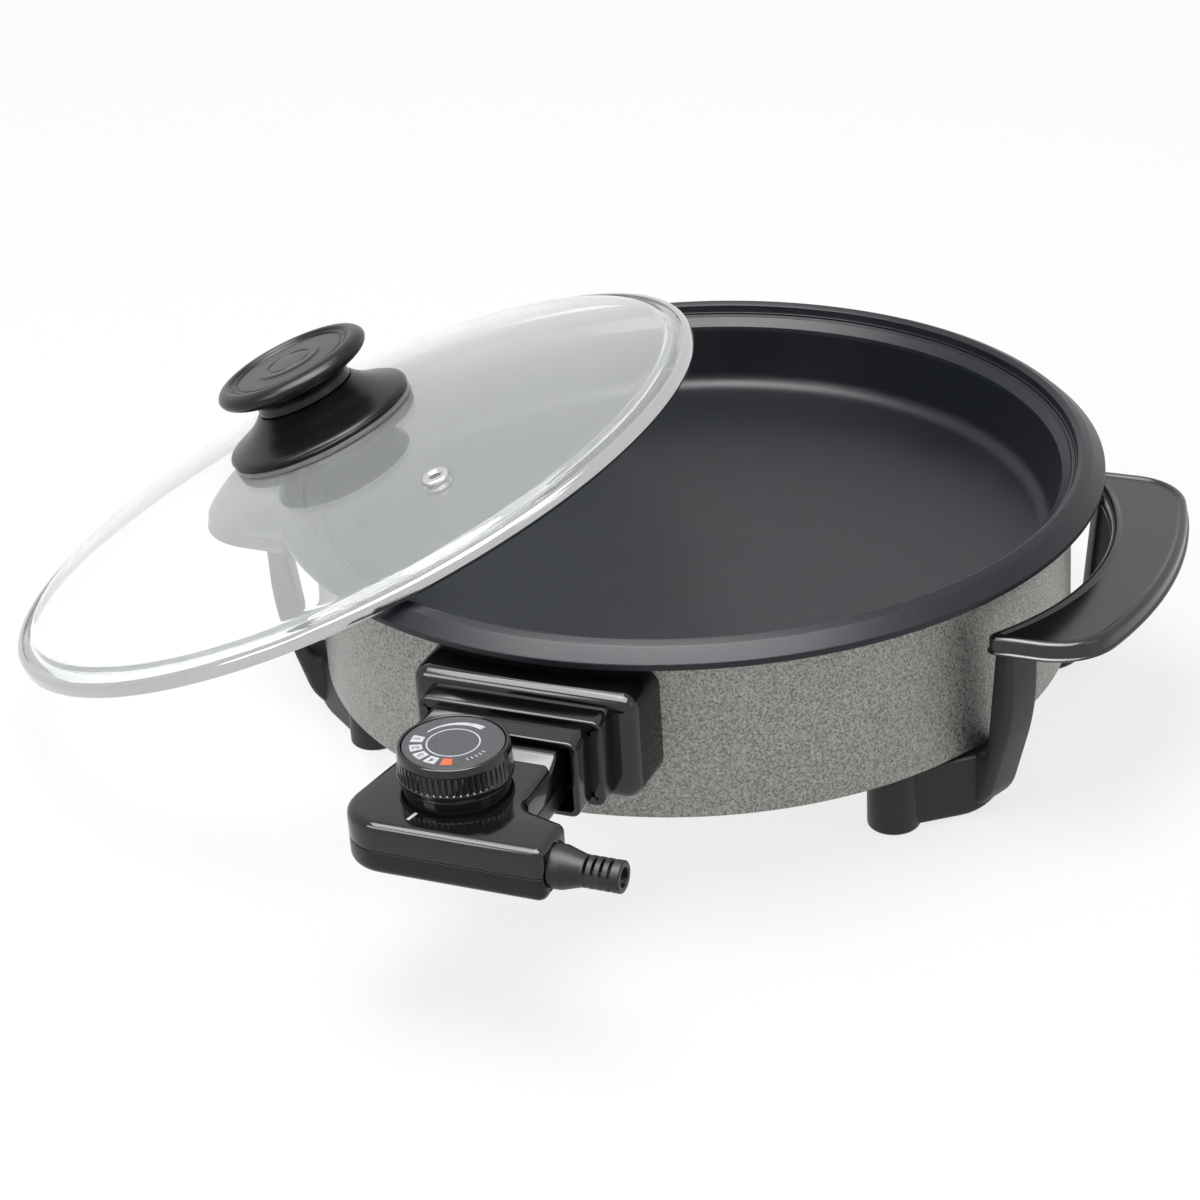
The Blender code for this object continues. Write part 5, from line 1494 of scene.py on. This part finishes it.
@dataclass(frozen=True)
class Dial:
    """The ribbed dial with its printed disc."""

    centre: Point = (-0.0029, -0.2122)
    radius: float = 0.020
    top: float = 0.0235
    bottom: float = 0.011
    rim: float = 0.0022
    recess: float = 0.0012
    crown: float = 0.0203
    rib_foot: float = 0.0136
    taper: float = 0.0009
    ribs: int = 54
    rib_depth: float = 0.0006
    rib_steps: int = 12
    sharp_edge: float = 50.0
    face_lift: float = 0.0009
    ring: Point = (0.0088, 0.0093)
    numbers: tuple[tuple[float, str], ...] = ((186.0, "1"), (212.0, "2"), (236.5, "3"), (260.5, "4"))
    number_radius: float = 0.01275
    number_size: float = 0.0033
    block: Point = (0.0106, 0.0149)
    block_half: float = 9.0
    wedge: Point = (0.0118, 0.0142)
    wedge_span: Point = (64.0, 161.0)
    wedge_taper: float = 0.8
    tick: Point = (0.0118, 0.0133)
    tick_width: float = 1.7
    tick_starts: tuple[float, ...] = (316.0, 324.0, 332.0, 340.0, 348.0)
    off_mark: Point = (0.0107, 0.0148)
    off_span: Point = (277.0, 293.0)

    def ribbed(self, radius: float, height: float, angle: float) -> float:
        """Return the radius of the dial's side, with narrow grooves between its ribs."""
        if not self.rib_foot < height < self.crown or radius < self.radius - 0.002:
            return radius
        groove = max(0.0, math.cos(self.ribs * angle) - 0.15) / 0.85
        return radius - self.rib_depth * groove**0.8

    def knob(self) -> bpy.types.Object:
        """Return the dial's moulding."""
        edge, low = self.radius, self.bottom
        inner, brow = edge - self.rim, edge - self.taper
        shoulder = edge - self.taper / 2
        line = eased(
            [
                (0.0, self.top - self.recess, 0.0),
                (inner, self.top - self.recess, 0.0003),
                (inner + 0.0002, self.top, 0.0004),
                (brow, self.top, 0.0007),
                (shoulder, self.crown + 0.0004, 0.0006),
                (shoulder - 0.0001, self.crown, 0.0),
                (shoulder - 0.0001, self.crown - 0.0003, 0.0),
                (edge - 0.0002, self.rib_foot + 0.0003, 0.0),
                (edge - 0.0002, self.rib_foot, 0.0),
                (edge, self.rib_foot - 0.0003, 0.0002),
                (edge, self.rib_foot - 0.0009, 0.0002),
                (edge - 0.0003, self.rib_foot - 0.0011, 0.0001),
                (edge - 0.0003, self.rib_foot - 0.0016, 0.0003),
                (edge - 0.0005, low, 0.0004),
                (0.0, low, 0.0),
            ],
            closed=False,
        )
        steps = self.ribs * self.rib_steps
        return turned("dial_moulding", line, steps, shape_at=self.ribbed, sharp=self.sharp_edge)

    def annulus(
        self,
        name: str,
        inner: float,
        outer: float,
        span: Point = (0.0, 360.0),
        taper: float = 0.0,
    ) -> bpy.types.Object:
        """Return a thin ring or arc of ink on the disc.

        Args:
            name: The object's name.
            inner: Its inner radius.
            outer: Its outer radius.
            span: Its first and last angle, in degrees.
            taper: Share of its width that it loses towards the last angle.

        Returns:
            The new object.
        """
        start, end = math.radians(span[0]), math.radians(span[1])
        steps = max(4, round((end - start) / math.tau * 96))
        low, high = self.ink_levels()
        shape = bmesh.new()
        columns = []
        for step in range(steps + 1):
            angle = start + (end - start) * step / steps
            across = Vector((math.cos(angle), math.sin(angle), 0.0))
            reach = outer - (outer - inner) * taper * step / steps
            spots = [(reach, low), (reach, high), (inner, high), (inner, low)]
            columns.append([shape.verts.new(across * r + Vector((0.0, 0.0, h))) for r, h in spots])
        for here, there in zip(columns, columns[1:]):
            for row in range(4):
                after = (row + 1) % 4
                shape.faces.new((here[row], here[after], there[after], there[row]))
        shape.faces.new(columns[0])
        shape.faces.new(columns[-1])
        return from_bmesh(name, shape, INK_SHARP_DEG)

    def ink_levels(self) -> Point:
        """Return the bottom and the top of the ink, above the disc."""
        disc = self.top - self.recess + self.face_lift
        return disc - 0.0001, disc + 0.00005

    def digit(self, word: str, angle: float) -> bpy.types.Object:
        """Return one plain number, read from the disc's edge.

        Args:
            word: The number.
            angle: Where it stands, in radians.

        Returns:
            The new object.
        """
        curve = bpy.data.curves.new("digit", "FONT")
        curve.body = word
        curve.size = self.number_size
        curve.align_x = "CENTER"
        curve.align_y = "CENTER"
        curve.extrude = 0.00004
        holder = new_object("digit", curve)
        bpy.context.view_layer.update()
        graph = bpy.context.evaluated_depsgraph_get()
        mesh = bpy.data.meshes.new_from_object(holder.evaluated_get(graph))
        bpy.data.objects.remove(holder, do_unlink=True)
        _, high = self.ink_levels()
        turn = Matrix.Rotation(angle - math.pi / 2, 4, "Z")
        x, y = self.number_radius * math.cos(angle), self.number_radius * math.sin(angle)
        shift = Matrix.Translation((x, y, high + 0.00002))
        mesh.transform(shift @ turn)
        return new_object("digit", mesh)

    def build(self, nodes: Mapping[str, bpy.types.Object]) -> None:
        """Build and dress the dial, its disc and its print.

        Args:
            nodes: The frame's nodes.
        """
        low = self.top - self.recess + FIT
        disc_radius = self.radius - self.rim - FIT
        line = [
            (0.0, low + 0.0006, 0.0),
            (disc_radius, low + 0.0006, 0.00015),
            (disc_radius, low, 0.0001),
            (0.0, low, 0.0),
        ]
        disc = turned("dial_disc", eased(line, closed=False), SMALL_STEPS * 2)
        ring = self.annulus("ink_ring", *self.ring)
        half = self.block_half
        blocks = [
            self.annulus(f"block_{n}", *self.block, (a - half, a + half))
            for n, (a, _) in enumerate(self.numbers)
        ]
        wedge = self.annulus("wedge", *self.wedge, self.wedge_span, self.wedge_taper)
        ticks = [
            self.annulus(f"tick_{n}", *self.tick, (a, a + self.tick_width))
            for n, a in enumerate(self.tick_starts)
        ]
        white = joined("ink_marks", [ring, *blocks, wedge, *ticks], INK_SHARP_DEG)
        orange = self.annulus("ink_off", *self.off_mark, self.off_span)
        digits = [self.digit(word, math.radians(a)) for a, word in self.numbers]
        numbers = joined("ink_numbers", digits, INK_SHARP_DEG)
        shift = Matrix.Translation((*self.centre, 0.0))
        pieces: list[tuple[bpy.types.Object, Finish, Slot, tuple[str, ...]]] = [
            (self.knob(), GLOSSY, Slot.PHENOLIC, ("dial",)),
            (disc, DISC_INK, Slot.PRINT, ("dial_face",)),
            (white, WHITE_INK, Slot.PRINT, ()),
            (orange, ORANGE_INK, Slot.PRINT, ()),
            (numbers, BLACK_INK, Slot.PRINT, ()),
        ]
        for thing, finish, slot, stands_for in pieces:
            thing.data.transform(shift)
            dress(thing, finish, slot, Body.DIAL, *stands_for)
        refinish(nodes, ["dial_stem"], SCREW_STEEL)


@dataclass(frozen=True)
class LidRest:
    """Where the lid leans, and the tool that puts its pieces there."""

    place: tuple[float, float, float] = (-0.1334, -0.026, 0.0136379)
    lean: float = math.radians(21.64)
    toward: float = math.radians(191.12)

    def matrix(self) -> Matrix:
        """Return the lid's place and turn in the pan's frame."""
        turn = Euler((0.0, self.lean, self.toward)).to_matrix().to_4x4()
        return Matrix.Translation(self.place) @ turn

    def dress(self, thing: bpy.types.Object, finish: Finish, slot: Slot, *nodes: str) -> None:
        """Put a piece of the lid in place and dress it."""
        thing.data.transform(self.matrix())
        dress(thing, finish, slot, Body.LID, *nodes)


@dataclass(frozen=True)
class GlassLid:
    """The domed glass, its rolled rim and its steam vent."""

    rest: LidRest = LidRest()
    rim_radius: float = 0.1486
    dome_rise: float = 0.0303
    sphere_radius: float = 0.463
    thickness: float = 0.0038
    edge_radius: float = 0.1463
    shoulder: float = 0.0033
    dome_edge: float = 0.0065
    strip: float = 0.0007
    bottom_lip: float = 0.0058
    top_lip: float = 0.0028
    rim_height: float = 0.0052
    rim_round: float = 0.0024
    hole_radius: float = 0.0026
    vent_radius: float = 0.1005
    vent_angle: float = math.radians(132.1)
    vent_flange: float = 0.0054
    vent_barrel: float = 0.0027
    vent_bore: float = 0.002
    vent_height: float = 0.0016

    def dome(self, radius: float) -> float:
        """Return the height of the glass's outer face above the lid's bottom."""
        return self.dome_rise - self.sphere_radius + math.sqrt(self.sphere_radius**2 - radius**2)

    def glass(self) -> bpy.types.Object:
        """Return the domed glass with its two holes."""
        edge_top = self.strip + FIT + self.thickness
        reach = self.edge_radius - self.dome_edge
        start = self.hole_radius
        radii = [start + (reach - start) * step / 40 for step in range(41)]
        edge = flowing(
            [
                (radii[-2], self.dome(radii[-2])),
                (reach, self.dome(reach)),
                (self.edge_radius - self.shoulder, edge_top + self.shoulder / 3),
                (self.edge_radius, edge_top),
            ],
            5,
        )
        outer = [(radius, self.dome(radius)) for radius in radii[:-2]] + edge
        inner = [(radius, height - self.thickness) for radius, height in reversed(outer)]
        return turned("glass_dome", outer + inner, ring=True)

    def rim(self) -> bpy.types.Object:
        """Return the rolled steel strip round the glass."""
        outer, wall = self.rim_radius, self.edge_radius + FIT
        edge_top = self.strip + FIT + self.thickness
        slope = 1.0 / 3.0
        lip = outer - self.top_lip
        lip_under = edge_top + (self.edge_radius - lip) * slope + FIT
        line = eased(
            [
                (lip, lip_under, 0.0),
                (lip, lip_under + self.strip, 0.0003),
                (outer - 0.0002, self.rim_height, self.rim_round * 0.7),
                (outer, 0.0, self.rim_round * 0.7),
                (outer - self.bottom_lip, 0.0, 0.0003),
                (outer - self.bottom_lip, self.strip, 0.0),
                (wall, self.strip, 0.0005),
                (wall, edge_top + FIT, 0.0),
            ],
            closed=True,
        )
        return turned("rim_band", line, ROUND_STEPS * 2, ring=True)

    def vent(self) -> bpy.types.Object:
        """Return the eyelet in the glass, in the lid's frame."""
        slope = math.asin(self.vent_radius / self.sphere_radius)
        top, bottom = FIT, -self.thickness * math.cos(slope) - FIT
        rise = self.vent_height
        line = eased(
            [
                (self.vent_bore, top + rise * 0.55, 0.0004),
                (self.vent_bore + 0.0009, top + rise, 0.0006),
                (self.vent_flange - 0.0003, top + rise * 0.9, 0.0006),
                (self.vent_flange, top, 0.0002),
                (self.vent_barrel, top, 0.0),
                (self.vent_barrel, bottom, 0.0),
                (self.vent_flange, bottom, 0.0002),
                (self.vent_flange - 0.0003, bottom - rise, 0.0004),
                (self.vent_bore, bottom - rise, 0.0004),
            ],
            closed=True,
        )
        vent = turned("vent_eyelet", line, SMALL_STEPS, ring=True)
        x = self.vent_radius * math.cos(self.vent_angle)
        y = self.vent_radius * math.sin(self.vent_angle)
        turn = Euler((0.0, slope, self.vent_angle)).to_matrix().to_4x4()
        vent.data.transform(Matrix.Translation((x, y, self.dome(self.vent_radius))) @ turn)
        return vent

    def build(self) -> None:
        """Build and dress the lid's glass, rim and vent."""
        self.rest.dress(self.glass(), GLASS, Slot.GLASS, "lid_glass")
        self.rest.dress(self.rim(), POLISHED, Slot.STEEL, "lid_rim")
        self.rest.dress(self.vent(), SCREW_STEEL, Slot.STEEL, "steam_vent")


@dataclass(frozen=True)
class Knob:
    """The lid's knob: gasket, flaring base, and neck with its disc."""

    lid: GlassLid = GlassLid()
    base_radius: float = 0.0385
    base_seat: float = 0.0009
    base_edge: float = 0.0018
    seam: float = 0.0145
    seam_radius: float = 0.0205
    top: float = 0.02985
    grip_radius: float = 0.0318
    grip_edge: float = 0.0075
    neck_radius: float = 0.0194
    wall: float = 0.0025
    gasket_inner: float = 0.024
    gasket_inset: float = 0.001
    sharp_edge: float = 34.0

    def base(self) -> bpy.types.Object:
        """Return the bell that stands on the glass."""
        seat = self.lid.dome_rise + self.base_seat
        seam = self.lid.dome_rise + self.seam
        edge = seat + self.base_edge
        span, rise = self.base_radius - self.seam_radius, seam - edge
        shares = ((1.0, 0.0), (0.94, 0.12), (0.68, 0.3), (0.41, 0.5), (0.17, 0.76), (0.0, 1.0))
        bell = flowing(
            [(self.seam_radius + a * span, edge + up * rise) for a, up in reversed(shares)], 8
        )
        inside = [
            (self.base_radius - 0.0004, edge + 0.0001),
            (self.base_radius, edge - 0.0003),
            (self.base_radius - 0.0006, seat + 0.0002),
            (self.base_radius - 0.0009, seat),
            (self.gasket_inner, seat),
            (self.gasket_inner, edge),
            (self.seam_radius - self.wall, seam - self.wall * 2),
            (0.007, seam - self.wall * 2),
            (0.007, self.lid.dome_rise + FIT),
            (0.0026, self.lid.dome_rise + FIT),
            (0.0026, seam),
            (self.seam_radius - 0.0012, seam),
        ]
        start = eased([(self.seam_radius - 0.0012, seam, 0.0), (*bell[0], 0.0), (*bell[1], 0.0)], False)
        return turned("knob_bell", start[1:-1] + bell[:-1] + inside, ring=True)

    def gasket(self) -> bpy.types.Object:
        """Return the silicone ring under the bell."""
        outer = self.base_radius - self.gasket_inset + 0.0006
        seat = self.lid.dome_rise + self.base_seat - FIT
        line = eased(
            [
                (outer, seat, 0.0003),
                (outer + 0.0004, self.lid.dome(outer) + FIT, 0.0003),
                (self.gasket_inner, self.lid.dome(self.gasket_inner) + FIT, 0.0),
                (self.gasket_inner, seat, 0.0),
            ],
            closed=True,
        )
        return turned("gasket_ring", line, ring=True)

    def grip(self) -> bpy.types.Object:
        """Return the disc with its turned rings, and the hollow-sided neck."""
        top = self.lid.dome_rise + self.top
        foot = self.lid.dome_rise + self.seam + FIT
        rings = (
            (0.0, 0.00055, 0.0),
            (0.262, 0.00055, 0.0002),
            (0.268, 0.0008, 0.0001),
            (0.284, 0.0008, 0.0001),
            (0.292, 0.0005, 0.0003),
            (0.405, 0.0005, 0.0005),
            (0.44, 0.00095, 0.0006),
            (0.51, 0.00105, 0.0004),
            (0.70, 0.0011, 0.0003),
            (0.712, 0.0015, 0.0002),
            (0.735, 0.0015, 0.0002),
            (0.752, 0.0008, 0.0003),
            (0.772, 0.0008, 0.0002),
            (0.784, 0.0012, 0.0002),
            (0.798, 0.0011, 0.0003),
            (0.83, 0.0001, 0.0014),
        )
        face = eased([(share * self.grip_radius, top - depth, turn) for share, depth, turn in rings], False)
        radius, edge = self.grip_radius, self.grip_edge
        side = flowing(
            [
                (0.835 * radius, top - 0.0001),
                (0.875 * radius, top),
                (0.945 * radius, top - 0.10 * edge),
                (0.99 * radius, top - 0.30 * edge),
                (radius, top - 0.46 * edge),
                (0.985 * radius, top - 0.66 * edge),
                (0.94 * radius, top - 0.84 * edge),
                (0.86 * radius, top - 1.0 * edge),
                (0.72 * radius, top - 1.16 * edge),
                (self.seam_radius, top - 1.32 * edge),
                (self.neck_radius + 0.0001, top - 1.6 * edge),
                (self.neck_radius + 0.0003, foot + 0.0012),
                (self.seam_radius - 0.0007, foot + 0.0003),
            ],
            6,
        )
        end = [
            (self.seam_radius - 0.0011, foot),
            (0.0026, foot),
            (0.0026, foot + 0.0073),
            (0.0, foot + 0.0073),
        ]
        return turned("knob_disc", face + side + end, sharp=self.sharp_edge)

    def build(self, nodes: Mapping[str, bpy.types.Object]) -> None:
        """Build and dress the knob.

        Args:
            nodes: The frame's nodes.
        """
        rest = self.lid.rest
        rest.dress(self.base(), KNOB_BLACK, Slot.PHENOLIC, "knob_base")
        rest.dress(self.gasket(), GASKET, Slot.SILICONE, "knob_gasket")
        rest.dress(self.grip(), KNOB_BLACK, Slot.PHENOLIC, "knob_grip")
        refinish(nodes, ["knob_washer", "knob_screw"], POLISHED)


@dataclass(frozen=True)
class Heater:
    """The parts that the jacket and the base plate hide."""

    def build(self, nodes: Mapping[str, bpy.types.Object]) -> None:
        """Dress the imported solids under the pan.

        Args:
            nodes: The frame's nodes.
        """
        screws = [f"base_screw_{n}" for n in (1, 2, 3, 4)] + ["socket_screw_1", "socket_screw_2"]
        refinish(nodes, screws + [f"element_clip_{n}" for n in (1, 2, 3, 4)], SCREW_STEEL)
        refinish(nodes, ["heat_reflector"], ALUMINIUM)
        refinish(nodes, ["heating_element"], SHEATH)
        refinish(nodes, ["terminal_bush_1", "terminal_bush_2"], CERAMIC)


# Studio


@dataclass(frozen=True)
class Softbox:
    """A rectangular lamp."""

    title: str
    place: tuple[float, float, float]
    aim: tuple[float, float, float]
    size: Point
    power: float
    shine_only: bool = False

    def build(self) -> None:
        """Add the lamp to the scene."""
        lamp = bpy.data.lights.new(self.title, "AREA")
        lamp.shape = "RECTANGLE"
        lamp.size, lamp.size_y = self.size
        lamp.energy = self.power
        holder = bpy.data.objects.new(self.title, lamp)
        bpy.context.scene.collection.objects.link(holder)
        holder.location = self.place
        holder.visible_diffuse = not self.shine_only
        holder.rotation_euler = (Vector(self.aim) - Vector(self.place)).to_track_quat("-Z", "Y").to_euler()


@dataclass(frozen=True)
class Studio:
    """White surroundings, a pale floor, soft lamps and the camera."""

    floor_height: float = -0.068
    floor_half: float = 4.0
    ambient: float = 0.62
    floor_white: float = 0.76
    floor_fade: Point = (0.45, 1.8)
    eye: tuple[float, float, float] = (0.4306, -1.0396, 0.5604)
    azimuth: float = math.radians(22.5)
    yaw: float = -0.03367
    pitch: float = 0.48132
    roll: float = -0.06874
    lens: float = 96.0
    sensor: float = 36.0
    boxes: tuple[Softbox, ...] = (
        Softbox("overhead_box", (-0.10, -0.10, 1.45), (0.0, -0.05, 0.0), (1.0, 0.8), 13.0),
        Softbox("front_box", (-0.9, -1.5, 0.9), (0.0, 0.0, 0.0), (0.7, 0.5), 9.0),
        Softbox("right_box", (1.6, -0.3, 0.8), (0.0, 0.0, 0.0), (0.6, 0.9), 1.5),
        Softbox("shine_card", (0.05, -0.55, 1.25), (0.0, -0.1, 0.0), (1.7, 0.95), 50.0, shine_only=True),
    )

    @staticmethod
    def seen(graph: Graph) -> Value:
        """Return 1 for rays that see the surroundings, from the camera, by gloss or through glass."""
        path = graph.node("ShaderNodeLightPath").outputs
        direct = Value(graph, path["Is Camera Ray"])
        glossy = Value(graph, path["Is Glossy Ray"])
        through = Value(graph, path["Is Transmission Ray"])
        return direct.larger(glossy).larger(through)

    def surroundings(self) -> None:
        """Make the world white to the eye and plain as a light."""
        world = bpy.data.worlds.new("surroundings")
        world.use_nodes = True
        bpy.context.scene.world = world
        graph = Graph(world.node_tree)
        plain = graph.node("ShaderNodeBackground", None, {"Color": (1.0, 1.0, 1.0), "Strength": self.ambient})
        white = graph.node("ShaderNodeBackground", None, {"Color": (1.0, 1.0, 1.0), "Strength": 1.0})
        mixed = graph.node(
            "ShaderNodeMixShader",
            None,
            {0: self.seen(graph), 1: plain.outputs[0], 2: white.outputs[0]},
        )
        graph.node("ShaderNodeOutputWorld", None, {"Surface": mixed.outputs[0]})

    def floor(self) -> None:
        """Lay the pale floor, which keeps the shadow and reads as white."""
        half = self.floor_half
        shape = bmesh.new()
        bmesh.ops.create_grid(shape, x_segments=8, y_segments=8, size=half)
        bmesh.ops.translate(shape, vec=(0.0, 0.0, self.floor_height), verts=shape.verts)
        floor = from_bmesh("floor", shape)
        paint = bpy.data.materials.new("floor_white")
        paint.use_nodes = True
        graph = Graph(paint.node_tree)
        diffuse = graph.node("ShaderNodeBsdfDiffuse", None, {"Color": (0.86, 0.86, 0.86)})
        white = graph.node("ShaderNodeEmission", None, {"Color": (1.0, 1.0, 1.0), "Strength": 1.0})
        nearness, farness = self.floor_fade
        share = self.seen(graph) * graph.radius().between(nearness, farness, self.floor_white, 1.0)
        mixed = graph.node(
            "ShaderNodeMixShader", None, {0: share, 1: diffuse.outputs[0], 2: white.outputs[0]}
        )
        graph.node("ShaderNodeOutputMaterial", None, {"Surface": mixed.outputs[0]})
        floor.data.materials.append(paint)

    def camera(self) -> None:
        """Set the camera where the photograph was taken from."""
        ahead = Vector(
            (
                math.sin(self.yaw) * math.cos(self.pitch),
                math.cos(self.yaw) * math.cos(self.pitch),
                -math.sin(self.pitch),
            )
        )
        level = Vector((math.cos(self.yaw), -math.sin(self.yaw), 0.0))
        upright = level.cross(ahead)
        right = level * math.cos(self.roll) + upright * math.sin(self.roll)
        up = upright * math.cos(self.roll) - level * math.sin(self.roll)
        columns = Matrix((right, up, -ahead)).transposed()
        turn = Matrix.Rotation(self.azimuth, 3, "Z") @ columns
        data = bpy.data.cameras.new("camera")
        data.lens = self.lens
        data.sensor_width = self.sensor
        data.clip_start = 0.05
        holder = bpy.data.objects.new("camera", data)
        bpy.context.scene.collection.objects.link(holder)
        holder.matrix_world = Matrix.Translation(self.eye) @ turn.to_4x4()
        bpy.context.scene.camera = holder

    def build(self) -> None:
        """Build the surroundings, the floor, the lamps and the camera."""
        bpy.context.scene.view_settings.view_transform = "Standard"
        self.surroundings()
        self.floor()
        for box in self.boxes:
            box.build()
        self.camera()


def main() -> None:
    """Build every sub-assembly on the frame."""
    logging.basicConfig(level=logging.INFO, format="%(name)s: %(message)s")
    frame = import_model()
    nodes = frame["nodes"]
    Studio().build()
    PanBody().build()
    Heater().build(nodes)
    Socket().build()
    for side in Side:
        Handle(side).build()
    HeatControl().build(nodes)
    Dial().build(nodes)
    GlassLid().build()
    Knob().build(nodes)


if __name__ == "__main__":
    main()
